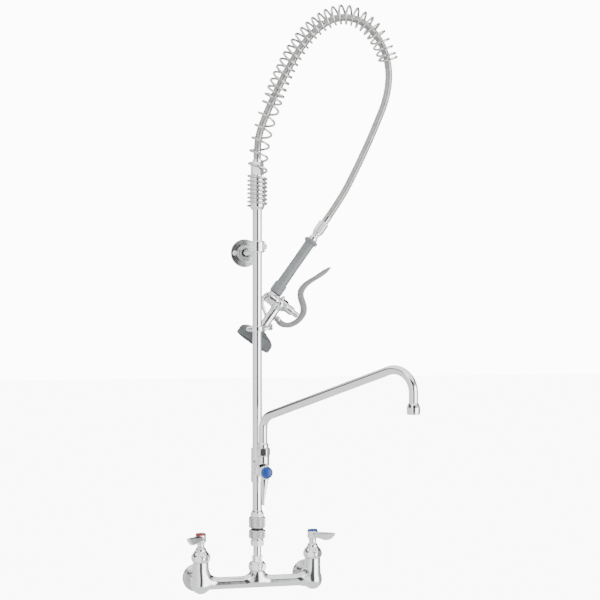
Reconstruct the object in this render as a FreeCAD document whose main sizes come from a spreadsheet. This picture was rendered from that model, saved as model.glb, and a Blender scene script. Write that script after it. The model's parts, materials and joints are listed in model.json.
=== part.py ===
import FreeCAD, Part

import math
import os

import Sketcher

# Pre-rinse faucet for a restaurant kitchen: a two-valve wall base, an add-on faucet with a swing
# nozzle, a riser with an overhead spring, and a spray valve on a flexible hose.
# Origin: on the wall, midway between the two supply inlets, at the height of their centres.
# +Z is up, +Y goes into the wall, +X is to the right of someone who faces the wall.

# ---------------------------------------------------------------- driving dimensions (mm, degrees)
DIMENSIONS = {
    # wall base
    "inlet_spacing": 203.2,
    "riser_stand": 58.0,
    "bulb_radius": 17.0,
    "column_radius": 14.2,
    "column_top": 38.9,
    "bridge_radius": 11.0,
    "waterway_radius": 7.0,
    "valve_bore": 11.0,
    "boss_radius": 12.6,
    "boss_top": 19.0,
    "arm_radius": 12.0,
    "coupling_across": 31.0,
    "inlet_flange_radius": 25.4,
    "inlet_thread_radius": 9.6,
    "inlet_thread_depth": 13.0,
    "bonnet_across": 31.0,
    "bonnet_top": 58.5,
    "cap_radius": 9.8,
    "cap_top": 65.5,
    # control levers
    "stem_radius": 5.0,
    "running_gap": 0.08,
    "hub_low": 73.0,
    "hub_top": 86.0,
    "hub_radius": 9.5,
    "lever_reach": 55.0,
    "lever_heading": 55.0,
    # union and riser
    "lock_nut_across": 28.5,
    "lock_nut_top": 35.9,
    "collar_radius": 9.1,
    "collar_top": 46.4,
    "neck_radius": 7.0,
    "tail_hex_low": 64.1,
    "tail_hex_top": 75.2,
    "lower_union_low": 77.2,
    "lower_union_top": 92.9,
    "upper_union_low": 96.1,
    "upper_union_top": 116.0,
    "union_radius": 15.0,
    "adapter_top": 127.1,
    "riser_radius": 8.575,
    "riser_bore": 6.3,
    "riser_top": 738.0,
    # add-on faucet
    "addon_low": 177.7,
    "addon_top": 238.8,
    "addon_radius": 11.2,
    "addon_level": 205.3,
    "addon_barrel": 13.0,
    "nozzle_forward": 55.0,
    "boss_low": 217.0,
    "swivel_low": 231.0,
    "swivel_top": 244.6,
    "swivel_across": 22.5,
    "addon_hub_back": 61.4,
    "addon_hub_length": 28.0,
    "addon_hub_radius": 10.4,
    # swing nozzle
    "nozzle_radius": 7.5,
    "nozzle_bore": 6.4,
    "nozzle_reach": 304.8,
    "nozzle_heading": -48.4,
    "nozzle_collar_top": 253.0,
    "nozzle_rise": 297.0,
    "nozzle_peak": 402.8,
    "nozzle_low_bend": 26.0,
    "nozzle_high_bend": 36.0,
    "outlet_radius": 11.0,
    "outlet_low": 317.0,
    "outlet_length": 18.5,
    # hose and overhead spring
    "hose_radius": 7.0,
    "hose_nut_low": 726.0,
    "hose_nut_top": 754.0,
    "coil_radius": 16.2,
    "wire_radius": 2.2,
    "coil_clearance": 0.4,
    "ferrule_low": 667.5,
    "ferrule_top": 722.0,
    # wall bracket
    "clamp_level": 598.2,
    "clamp_width": 34.0,
    "clamp_height": 20.6,
    "rod_level": 592.0,
    "rod_radius": 4.8,
    "bracket_reach": 129.0,
    "bracket_flange_radius": 26.5,
    "bracket_screw_circle": 19.0,
    # finger hook
    "hook_level": 451.4,
    "hook_height": 9.5,
    "hook_radius": 12.6,
    "prong_radius": 3.0,
    # spray valve, measured down the handle from the end of the hose
    "handset_x": 134.5,
    "handset_behind_riser": 46.0,
    "handset_z": 646.0,
    "handset_tilt": 35.5,
    "grip_radius": 9.8,
    "grip_start": 40.0,
    "grip_end": 160.0,
    "outlet_offset": 17.5,
    "plunger_down": 169.0,
    "plunger_tip": 59.0,
    "pivot_down": 196.0,
    "pivot_out": 32.0,
    "pin_radius": 2.0,
    "bumper_radius": 34.7,
    "bumper_back": 242.0,
    "bumper_face": 258.0,
}

doc = FreeCAD.newDocument("pre_rinse_faucet")
sheet = doc.addObject("Spreadsheet::Sheet", "sizes")


class Size:
    """A length or angle that carries its value and the spreadsheet formula that gives it."""

    def __init__(self, value, formula):
        self.value = float(value)
        self.formula = formula

    def joined(self, other, sign, value):
        return Size(value, f"({self.formula} {sign} {other.formula})")

    def __add__(self, other):
        other = as_size(other)
        return self.joined(other, "+", self.value + other.value)

    def __sub__(self, other):
        other = as_size(other)
        return self.joined(other, "-", self.value - other.value)

    def __mul__(self, other):
        other = as_size(other)
        return self.joined(other, "*", self.value * other.value)

    def __truediv__(self, other):
        other = as_size(other)
        return self.joined(other, "/", self.value / other.value)

    def __radd__(self, other):
        return as_size(other) + self

    def __rsub__(self, other):
        return as_size(other) - self

    def __rmul__(self, other):
        return as_size(other) * self

    def __neg__(self):
        return Size(-self.value, f"(0 - {self.formula})")


def as_size(number):
    return number if isinstance(number, Size) else Size(number, repr(float(number)))


def cosine(angle):
    return Size(math.cos(math.radians(angle.value)), f"cos({angle.formula})")


def sine(angle):
    return Size(math.sin(math.radians(angle.value)), f"sin({angle.formula})")


def fill_sheet():
    """Write the driving dimensions into the sheet; return them by name."""
    named = {}
    for row, (alias, value) in enumerate(DIMENSIONS.items(), start=1):
        sheet.set(f"A{row}", alias)
        sheet.set(f"B{row}", str(value))
        sheet.setAlias(f"B{row}", alias)
        named[alias] = Size(value, f"sizes.{alias}")
    doc.recompute()
    return named


class Dimensions:
    """The sheet's cells as attributes."""

    def __init__(self, named):
        self.__dict__.update(named)


dim = Dimensions(fill_sheet())

# ---------------------------------------------------------------- directions and frames
RIGHT = FreeCAD.Vector(1, 0, 0)
LEFT = FreeCAD.Vector(-1, 0, 0)
BACK = FreeCAD.Vector(0, 1, 0)
FRONT = FreeCAD.Vector(0, -1, 0)
UP = FreeCAD.Vector(0, 0, 1)
DOWN = FreeCAD.Vector(0, 0, -1)


class Frame:
    """A place to build in: an origin and a tilt about the Y axis."""

    def __init__(self, at, tilt):
        self.at = [as_size(c) for c in at]
        self.tilt = as_size(tilt)
        self.rotation = FreeCAD.Rotation(BACK, self.tilt.value)

    def point(self, x, y, z):
        if self.tilt.value == 0.0:
            return [self.at[0] + x, self.at[1] + y, self.at[2] + z]
        run, rise = cosine(self.tilt), sine(self.tilt)
        return [self.at[0] + x * run + z * rise, self.at[1] + y, self.at[2] + z * run - x * rise]

    def vector(self, x, y, z):
        return FreeCAD.Vector(*[c.value for c in self.point(as_size(x), as_size(y), as_size(z))])


WORLD = Frame((0, 0, 0), 0)
RISER = Frame((0, -dim.riser_stand, 0), 0)
HANDSET = Frame((dim.handset_x, dim.handset_behind_riser - dim.riser_stand, dim.handset_z), dim.handset_tilt)

# ---------------------------------------------------------------- building blocks
nodes = []


def bind(item, path, number):
    """Give a property its formula from the sheet."""
    item.setExpression(path, as_size(number).formula)


def place(item, frame, at, axis=UP, spin=0.0):
    """Put an item at a point of a frame, with its own Z along the axis."""
    point = frame.point(*[as_size(c) for c in at])
    turn = FreeCAD.Rotation(UP, axis).multiply(FreeCAD.Rotation(UP, spin))
    base = FreeCAD.Vector(*[c.value for c in point])
    item.Placement = FreeCAD.Placement(base, frame.rotation.multiply(turn))
    for letter, coordinate in zip("xyz", point):
        bind(item, f"Placement.Base.{letter}", coordinate)


def solid(kind, label, frame, at, axis, spin=0.0, **measures):
    item = doc.addObject(kind, label)
    item.Label = label
    for name, number in measures.items():
        bind(item, name, number)
    place(item, frame, at, axis, spin)
    return item


def cylinder(label, radius, height, at, axis=UP, frame=WORLD):
    return solid("Part::Cylinder", label, frame, at, axis, Radius=radius, Height=height)


def cone(label, radius, end_radius, height, at, axis=UP, frame=WORLD):
    return solid("Part::Cone", label, frame, at, axis, Radius1=radius, Radius2=end_radius, Height=height)


def sphere(label, radius, at, frame=WORLD):
    return solid("Part::Sphere", label, frame, at, UP, Radius=radius)


def prism(label, sides, across, height, at, axis=UP, frame=WORLD, spin=0.0):
    """A regular prism, sized across its flats."""
    corner = as_size(across) / (2 * math.cos(math.pi / sides))
    item = solid("Part::Prism", label, frame, at, axis, spin, Circumradius=corner, Height=height)
    item.Polygon = sides
    return item


def box(label, wide, deep, tall, at, frame=WORLD):
    """A box whose bottom face is centred on the point."""
    corner = (at[0] - as_size(wide) / 2, at[1] - as_size(deep) / 2, at[2])
    return solid("Part::Box", label, frame, corner, UP, Length=wide, Width=deep, Height=tall)


def fuse(label, items):
    item = doc.addObject("Part::MultiFuse", label)
    item.Label = label
    item.Shapes = items
    item.Refine = True
    return item


def cut(label, base, tools):
    item = doc.addObject("Part::Cut", label)
    item.Label = label
    item.Base = base
    item.Tool = tools[0] if len(tools) == 1 else fuse(f"{label}_tools", tools)
    return item


def common(label, items):
    item = doc.addObject("Part::MultiCommon", label)
    item.Label = label
    item.Shapes = items
    return item


def group(label, items):
    item = doc.addObject("Part::Compound", label)
    item.Label = label
    item.Links = items
    return item


def turned(label, outline, at, axis=UP, frame=WORLD):
    """A lathe-turned body: an outline of (radius, height) points, revolved about its own axis."""
    body = doc.addObject("PartDesign::Body", label)
    body.Label = label
    plane = next(f for f in body.Origin.OriginFeatures if f.Role == "XZ_Plane")
    sketch = body.newObject("Sketcher::SketchObject", f"{label}_outline")
    sketch.AttachmentSupport = [(plane, "")]
    sketch.MapMode = "FlatFace"
    points = [(as_size(r), as_size(h)) for r, h in outline]
    ends = points[1:] + points[:1]
    for (r, h), (next_r, next_h) in zip(points, ends):
        start = FreeCAD.Vector(r.value, h.value, 0)
        sketch.addGeometry(Part.LineSegment(start, FreeCAD.Vector(next_r.value, next_h.value, 0)))
    for i in range(len(points)):
        sketch.addConstraint(Sketcher.Constraint("Coincident", i, 2, (i + 1) % len(points), 1))
    for i, point in enumerate(points):
        for way, number in zip(("DistanceX", "DistanceY"), point):
            index = sketch.addConstraint(Sketcher.Constraint(way, -1, 1, i, 1, number.value))
            bind(sketch, f"Constraints[{index}]", number)
    spun = body.newObject("PartDesign::Revolution", f"{label}_turning")
    spun.Profile = sketch
    spun.ReferenceAxis = (sketch, ["V_Axis"])
    spun.Angle = 360
    place(body, frame, at, axis)
    return body


def shaped(label, shape):
    """A free-form piece whose shape the code works out from the sheet's values."""
    item = doc.addObject("Part::Feature", label)
    item.Label = label
    item.Shape = shape
    return item


def keep(item):
    """Mark a finished sub-part."""
    nodes.append(item)
    return item


def faceted_nut(label, sides, across, height, at, frame=WORLD, axis=UP, spin=0.0):
    """A nut with rounded corners, before it is bored."""
    blank = prism(f"{label}_blank", sides, across, height, at, axis, frame, spin)
    middle = [as_size(c) + axis[i] * as_size(height) / 2 for i, c in enumerate(at)]
    rounding = as_size(across) * 0.60
    ball = sphere(f"{label}_rounding", rounding, middle, frame)
    return common(f"{label}_form", [blank, ball])


def rounded_path(points, shortest=0.45):
    """Straight runs joined by tangent arcs: each radius is 0.45 of the shorter run over the
    tangent of half the turn. Returns the wire and the radii."""
    edges = []
    radii = []
    start = points[0]
    for before, corner, after in zip(points, points[1:], points[2:]):
        into = corner - before
        out = after - corner
        trim = shortest * min(into.Length, out.Length)
        half_turn = into.getAngle(out) / 2
        radii.append(trim / math.tan(half_turn))
        into.normalize()
        out.normalize()
        arc_start = corner - into * trim
        arc_end = corner + out * trim
        inward = out - into
        inward.normalize()
        middle = corner + inward * radii[-1] * (1 / math.cos(half_turn) - 1)
        edges.append(Part.LineSegment(start, arc_start).toShape())
        edges.append(Part.Arc(arc_start, middle, arc_end).toShape())
        start = arc_end
    edges.append(Part.LineSegment(start, points[-1]).toShape())
    return Part.Wire(edges), radii


def tube_along(wire, radius):
    """A round bar that follows a wire of runs and tangent arcs."""
    first = wire.OrderedEdges[0]
    heading = first.tangentAt(first.FirstParameter)
    section = Part.Wire(Part.Circle(wire.OrderedVertexes[0].Point, heading, radius).toShape())
    return wire.makePipeShell([section], True, False, 2)


def oval(centre, across, up, width, height):
    """An oval wire with its width along one direction and its height along another."""
    normal = across.cross(up)
    turn = FreeCAD.Rotation(across, up, normal, "ZXY")
    matrix = FreeCAD.Placement(centre, turn).toMatrix()
    squeeze = FreeCAD.Matrix()
    squeeze.scale(width / 2, height / 2, 1)
    edge = Part.Circle(FreeCAD.Vector(0, 0, 0), UP, 1).toShape()
    return Part.Wire(edge.transformGeometry(matrix.multiply(squeeze)))


def for_both_sides(label, make):
    """Two identical pieces, one at each valve, kept as one node of two solids."""
    sides = [make(f"{label}_{word}", side) for word, side in (("left", -1), ("right", 1))]
    return keep(group(label, sides))


def column_x(side):
    return side * dim.inlet_spacing / 2


# ---------------------------------------------------------------- wall base
def base_casting():
    """Two valve columns, the bridge between them, the centre boss and the arms to the wall."""
    span = dim.inlet_spacing
    masses = [cylinder("bridge", dim.bridge_radius, span, (column_x(-1), 0, 0), RIGHT, RISER)]
    masses.append(cylinder("centre_boss", dim.boss_radius, dim.boss_top, (0, 0, 0), frame=RISER))
    masses.append(cone("centre_flare", 15.5, dim.boss_radius, 8, (0, 0, 4), frame=RISER))
    bores = [cylinder("bridge_bore", dim.waterway_radius, span, (column_x(-1), 0, 0), RIGHT, RISER)]
    bores.append(cylinder("centre_bore", 8, dim.boss_top + 1, (0, 0, 0), frame=RISER))
    for word, side in (("left", -1), ("right", 1)):
        x = column_x(side)
        inward = LEFT if side > 0 else RIGHT
        masses.append(sphere(f"{word}_bulb", dim.bulb_radius, (x, 0, -1), RISER))
        height = dim.column_top + 1
        masses.append(cylinder(f"{word}_column", dim.column_radius, height, (x, 0, -1), frame=RISER))
        masses.append(cone(f"{word}_flare", 16, dim.bridge_radius, 34, (x, 0, 0), inward, RISER))
        masses.append(cylinder(f"{word}_arm", dim.arm_radius, 26, (x, 0, 0), BACK, RISER))
        bores.append(cylinder(f"{word}_valve_bore", dim.valve_bore, height + 2, (x, 0, -2), frame=RISER))
        bores.append(cylinder(f"{word}_arm_bore", dim.waterway_radius, 27, (x, 0, 0), BACK, RISER))
    keep(cut("base_body", fuse("base_mass", masses), bores))


def inlet_pieces():
    """Coupling nut and round wall flange of each inlet."""

    def flange(label, side):
        x = column_x(side)
        rim = dim.inlet_flange_radius
        disc = cone(f"{label}_disc", rim, rim - 1.5, 4, (x, 0, 0), FRONT)
        hub = cone(f"{label}_hub", 20, 14, 14, (x, -4, 0), FRONT)
        tail = cylinder(f"{label}_tail", 11.4, 10, (x, -14, 0), FRONT)
        depth = dim.inlet_thread_depth
        thread = cylinder(f"{label}_thread", dim.inlet_thread_radius, depth, (x, 0, 0), FRONT)
        way = cylinder(f"{label}_way", dim.waterway_radius, 30, (x, 0, 0), FRONT)
        return cut(label, fuse(f"{label}_mass", [disc, hub, tail]), [thread, way])

    def coupling(label, side):
        x = column_x(side)
        blank = faceted_nut(label, 6, dim.coupling_across, 17, (x, -20, 0), axis=FRONT)
        bore = cylinder(f"{label}_bore", dim.arm_radius + 0.1, 20, (x, -19, 0), FRONT)
        return cut(label, blank, [bore])

    for_both_sides("inlet_flanges", flange)
    for_both_sides("inlet_coupling_nuts", coupling)


def valve_internals():
    """Bonnet nut and cartridge sleeve of each valve."""

    def bonnet(label, side):
        at = (column_x(side), 0, dim.column_top)
        height = dim.bonnet_top - dim.column_top
        blank = faceted_nut(label, 6, dim.bonnet_across, height, at, RISER, spin=15)
        shoulder = cylinder(f"{label}_shoulder", 13.1, 3.2, at, frame=RISER)
        bore = cylinder(f"{label}_bore", dim.cap_radius + 0.4, height, at, frame=RISER)
        return cut(label, blank, [shoulder, bore])

    def sleeve(label, side):
        bore = dim.stem_radius + dim.running_gap
        outline = [
            (9.7, 0.2),
            (dim.valve_bore - 0.2, 0.2),
            (dim.valve_bore - 0.2, dim.column_top),
            (13, dim.column_top),
            (13, dim.column_top + 3.1),
            (dim.cap_radius, dim.column_top + 3.1),
            (dim.cap_radius, dim.cap_top - 4.5),
            (dim.cap_radius - 0.8, dim.cap_top - 2),
            (dim.cap_radius - 3, dim.cap_top),
            (bore, dim.cap_top),
            (bore, 8.2),
            (9.7, 8.2),
        ]
        return turned(label, outline, (column_x(side), 0, 0), frame=RISER)

    for_both_sides("bonnet_nuts", bonnet)
    for_both_sides("cartridge_sleeves", sleeve)


def ported_disc(label, at, axis, across, frame=RISER):
    """A ceramic disc with two ports, one each side of its centre."""
    start = [as_size(c) - axis[i] for i, c in enumerate(at)]
    ports = []
    for i, way in enumerate((-1, 1)):
        port = [c + across[k] * way * 4.8 for k, c in enumerate(start)]
        ports.append(cylinder(f"{label}_port_{i}", 2.6, 5, port, axis, frame))
    return cut(label, cylinder(f"{label}_blank", 9.4, 3, at, axis, frame), ports)


def fixed_discs():
    """The three fixed ceramic discs: hot, cold and add-on valve."""
    discs = []
    for i, side in enumerate((-1, 1)):
        discs.append(ported_disc(f"fixed_disc_{i}", (column_x(side), 0, 0.2), UP, RIGHT))
    discs.append(ported_disc("fixed_disc_2", (0, -27, dim.addon_level), FRONT, RIGHT))
    keep(group("fixed_ceramic_discs", discs))


def washer(label, outer, inner, thick, at, axis=UP):
    blank = cylinder(f"{label}_blank", outer, thick, at, axis, RISER)
    start = [as_size(c) - axis[i] for i, c in enumerate(at)]
    return cut(label, blank, [cylinder(f"{label}_hole", inner, as_size(thick) + 2, start, axis, RISER)])


def washers():
    """The rubber washers inside the joints: both inlets, both valve seats and the hose nut."""
    rubber = []
    for word, side in (("left", -1), ("right", 1)):
        x = column_x(side)
        inlet = (x, dim.riser_stand - 24, 0)
        rubber.append(washer(f"inlet_washer_{word}", 11.4, dim.waterway_radius, 8, inlet, FRONT))
        rubber.append(washer(f"seat_washer_{word}", 10.6, 7.6, 1.9, (x, 0, -1.8)))
    rubber.append(washer("hose_washer", dim.riser_radius, 4.5, 2, (0, 0, dim.riser_top)))
    keep(group("washers", rubber))


def lever_blade(label, root, out, flat, upright):
    """A lever arm: wide and low at the hub, narrow and tall at its paddle end, with a ball tip."""
    reach = dim.lever_reach.value
    stations = [
        (0.10, 15.0, 8.5),
        (0.32, 13.0, 9.5),
        (0.58, 10.5, 14.0),
        (0.80, 7.5, 14.5),
        (0.93, 5.0, 9.0),
        (1.0, 3.4, 4.0),
    ]
    wires = [oval(root + out * (share * reach), flat, upright, wide, tall) for share, wide, tall in stations]
    blade = Part.makeLoft(wires, True, False)
    ball = Part.makeSphere(2.6, root + out * reach)
    return shaped(label, blade.fuse(ball).removeSplitter())


def control_lever(word, side):
    """One valve's moving set: stem with its bonded ceramic disc, lever, screw and index button."""
    x = column_x(side)
    disc = ported_disc(f"{word}_moving_disc", (x, 0, 3.3), UP, BACK)
    core = turned(
        f"{word}_stem_core",
        [
            (0, 6.3),
            (8.8, 6.3),
            (8.8, 8.1),
            (dim.stem_radius, 8.1),
            (dim.stem_radius, dim.hub_low - 6.2),
            (4.2, dim.hub_low - 6.2),
            (4.2, dim.hub_top - 6),
            (0, dim.hub_top - 6),
        ],
        (x, 0, 0),
        frame=RISER,
    )
    screw_hole = cylinder(f"{word}_screw_hole", 2, 9, (x, 0, dim.hub_top - 14), frame=RISER)
    keep(fuse(f"{word}_stem", [disc, cut(f"{word}_stem_drilled", core, [screw_hole])]))

    heading = math.radians(dim.lever_heading.value)
    out = FreeCAD.Vector(side * math.cos(heading), -math.sin(heading), 0)
    root = RISER.vector(x, 0, (dim.hub_low + dim.hub_top) / 2)
    blade = lever_blade(f"{word}_blade", root, out, UP.cross(out), UP)
    hub = cylinder(f"{word}_hub", dim.hub_radius, dim.hub_top - dim.hub_low, (x, 0, dim.hub_low), frame=RISER)
    neck = cone(f"{word}_neck", 6.2, 8, 6, (x, 0, dim.hub_low - 6), frame=RISER)
    socket = cylinder(f"{word}_socket", 4.2, 22, (x, 0, dim.hub_low - 8), frame=RISER)
    recess = cylinder(f"{word}_recess", 7.4, 7, (x, 0, dim.hub_top - 6), frame=RISER)
    keep(cut(f"{word}_lever", fuse(f"{word}_lever_mass", [hub, neck, blade]), [socket, recess]))

    head = cylinder(f"{word}_screw_head", 3.8, 3, (x, 0, dim.hub_top - 6), frame=RISER)
    shank = cylinder(f"{word}_screw_shank", 2, 8, (x, 0, dim.hub_top - 14), frame=RISER)
    keep(fuse(f"{word}_lever_screw", [head, shank]))

    button = turned(
        f"{word}_index",
        [(0, -2.6), (7.3, -2.6), (7.3, 0), (9.3, 0), (9.3, 1.2), (8.4, 2.3), (5, 3.1), (0, 3.4)],
        (x, 0, dim.hub_top),
        frame=RISER,
    )
    keep(button)


# ---------------------------------------------------------------- union, adapter and riser
def swivel_union():
    """The nuts and tailpieces that join the riser to the base and come apart by hand."""
    bore = 5.5
    nut_height = dim.lock_nut_top - dim.boss_top
    nut = faceted_nut("lock_nut", 6, dim.lock_nut_across, nut_height, (0, 0, dim.boss_top), RISER, spin=8)
    hole = cylinder("lock_nut_bore", dim.collar_radius + 0.1, 30, (0, 0, dim.boss_top - 2), frame=RISER)
    keep(cut("base_lock_nut", nut, [hole]))

    tail = turned(
        "tailpiece_core",
        [
            (bore, 4),
            (7.9, 4),
            (7.9, dim.boss_top + 0.2),
            (dim.collar_radius, dim.boss_top + 0.2),
            (dim.collar_radius, dim.collar_top),
            (dim.neck_radius, dim.collar_top),
            (dim.neck_radius, dim.tail_hex_top),
            (9.9, dim.tail_hex_top),
            (9.9, dim.lower_union_top),
            (bore, dim.lower_union_top),
        ],
        (0, 0, 0),
        frame=RISER,
    )
    flats_height = dim.tail_hex_top - dim.tail_hex_low
    flats = prism("tailpiece_flats", 6, 22, flats_height, (0, 0, dim.tail_hex_low), frame=RISER)
    way = cylinder("tailpiece_way", bore, 30, (0, 0, dim.tail_hex_low - 5), frame=RISER)
    keep(fuse("union_tailpiece", [tail, cut("tailpiece_hex", flats, [way])]))

    def knurled(label, low, top):
        edge = 1.4
        outline = [
            (10, low),
            (dim.union_radius - edge, low),
            (dim.union_radius, low + edge),
            (dim.union_radius, top - edge),
            (dim.union_radius - edge, top),
            (10, top),
        ]
        return keep(turned(label, outline, (0, 0, 0), frame=RISER))

    knurled("lower_union_nut", dim.lower_union_low, dim.lower_union_top)
    knurled("upper_union_nut", dim.upper_union_low, dim.upper_union_top)

    seal_height = dim.upper_union_low - dim.lower_union_top
    seal = cylinder("union_seal_blank", 10.8, seal_height, (0, 0, dim.lower_union_top), frame=RISER)
    seal_hole = cylinder("union_seal_hole", bore, 6, (0, 0, dim.lower_union_top - 1), frame=RISER)
    keep(cut("union_seal", seal, [seal_hole]))

    socket_low = dim.adapter_top - 9
    adapter = turned(
        "riser_adapter",
        [
            (bore, dim.upper_union_low),
            (9.9, dim.upper_union_low),
            (9.9, dim.upper_union_top),
            (11.8, dim.upper_union_top),
            (11.8, dim.upper_union_top + 4),
            (9.9, dim.adapter_top),
            (dim.riser_radius, dim.adapter_top),
            (dim.riser_radius, socket_low),
            (bore, socket_low),
        ],
        (0, 0, 0),
        frame=RISER,
    )
    keep(adapter)


def pipe(label, low, top):
    """A length of riser pipe between two heights."""
    wall = cylinder(f"{label}_wall", dim.riser_radius, top - low, (0, 0, low), frame=RISER)
    hole = cylinder(f"{label}_hole", dim.riser_bore, top - low + 2, (0, 0, low - 1), frame=RISER)
    return keep(cut(label, wall, [hole]))


def riser_pipes():
    socket = 9
    pipe("lower_nipple", dim.adapter_top - socket, dim.addon_low + socket)
    pipe("riser", dim.addon_top - socket, dim.riser_top)


# ---------------------------------------------------------------- add-on faucet
def addon_faucet():
    """The faucet in the riser: body, bonnet, stem with its disc, hanging lever and index button."""
    level = dim.addon_level
    forward = -dim.nozzle_forward
    barrel_end = 48
    height = dim.addon_top - dim.addon_low
    mass = [
        cylinder("addon_sleeve", dim.addon_radius, height, (0, 0, dim.addon_low), frame=RISER),
        cylinder("addon_barrel", dim.addon_barrel, barrel_end, (0, 0, level), FRONT, RISER),
        sphere("addon_shoulder", dim.addon_barrel, (0, forward + 13, level + 5), RISER),
        cylinder("addon_boss", 11.4, dim.swivel_low - dim.boss_low, (0, forward, dim.boss_low), frame=RISER),
        cylinder("addon_throat", 8.5, dim.boss_low - level + 4, (0, forward + 9, level), frame=RISER),
    ]
    socket = 9
    bores = [
        cylinder("addon_low_socket", dim.riser_radius, socket, (0, 0, dim.addon_low), frame=RISER),
        cylinder("addon_top_socket", dim.riser_radius, socket, (0, 0, dim.addon_top - socket), frame=RISER),
        cylinder("addon_way", dim.riser_bore, height, (0, 0, dim.addon_low), frame=RISER),
        cylinder("addon_valve_bore", 10, barrel_end - 25, (0, -25, level), FRONT, RISER),
        cylinder("addon_cross_way", 5, 26, (0, 0, level), FRONT, RISER),
        cylinder("addon_nozzle_bore", 8.5 + dim.running_gap, 20, (0, forward, dim.boss_low + 3), frame=RISER),
        cylinder("addon_rise", 3.6, 17, (0, forward + 11, level), frame=RISER),
        cylinder("addon_bonnet_room", 12.4, 20, (0, -barrel_end, level), FRONT, RISER),
    ]
    keep(cut("addon_body", fuse("addon_mass", mass), bores))

    disc = ported_disc("addon_moving_disc", (0, -30.1, level), FRONT, UP)
    bore = 4 + dim.running_gap
    hub_back = dim.addon_hub_back
    keep(
        turned(
            "addon_bonnet",
            [
                (bore, 35),
                (9.8, 35),
                (9.8, barrel_end),
                (12.2, barrel_end),
                (12.2, barrel_end + 4),
                (8.4, barrel_end + 5.5),
                (8.4, hub_back - 2.5),
                (bore, hub_back - 2.5),
            ],
            (0, 0, level),
            FRONT,
            RISER,
        )
    )
    stem = turned(
        "addon_stem_core",
        [(0, 33.1), (8.8, 33.1), (8.8, 34.8), (4, 34.8), (4, hub_back + 18), (0, hub_back + 18)],
        (0, 0, level),
        FRONT,
        RISER,
    )
    screw_hole = cylinder("addon_stem_hole", 1.8, 10, (0, -(hub_back + 9), level), FRONT, RISER)
    keep(fuse("addon_stem", [disc, cut("addon_stem_drilled", stem, [screw_hole])]))

    lean = math.radians(5)
    down = FreeCAD.Vector(-math.sin(lean), 0, -math.cos(lean))
    middle = RISER.vector(0, -(hub_back + dim.addon_hub_length * 0.42), level)
    blade = lever_blade("addon_blade", middle, down, down.cross(FRONT), FRONT)
    hub = turned(
        "addon_hub",
        [
            (0, 0),
            (8.6, 0),
            (dim.addon_hub_radius, 3),
            (dim.addon_hub_radius, dim.addon_hub_length),
            (0, dim.addon_hub_length),
        ],
        (0, -hub_back, level),
        FRONT,
        RISER,
    )
    socket_bore = cylinder("addon_lever_socket", 4, 18, (0, -hub_back, level), FRONT, RISER)
    recess = cylinder("addon_lever_recess", 7.4, 12, (0, -(hub_back + 18), level), FRONT, RISER)
    keep(cut("addon_lever", fuse("addon_lever_mass", [hub, blade]), [socket_bore, recess]))

    head = cylinder("addon_screw_head", 3.8, 3, (0, -(hub_back + 18), level), FRONT, RISER)
    shank = cylinder("addon_screw_shank", 1.8, 9, (0, -(hub_back + 9), level), FRONT, RISER)
    keep(fuse("addon_lever_screw", [head, shank]))
    keep(
        turned(
            "addon_index",
            [(0, -5), (7.3, -5), (7.3, 0), (10.2, 0), (10.2, 2.4), (9.2, 3.6), (5, 4.4), (0, 4.7)],
            (0, -(hub_back + dim.addon_hub_length), level),
            FRONT,
            RISER,
        )
    )


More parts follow.
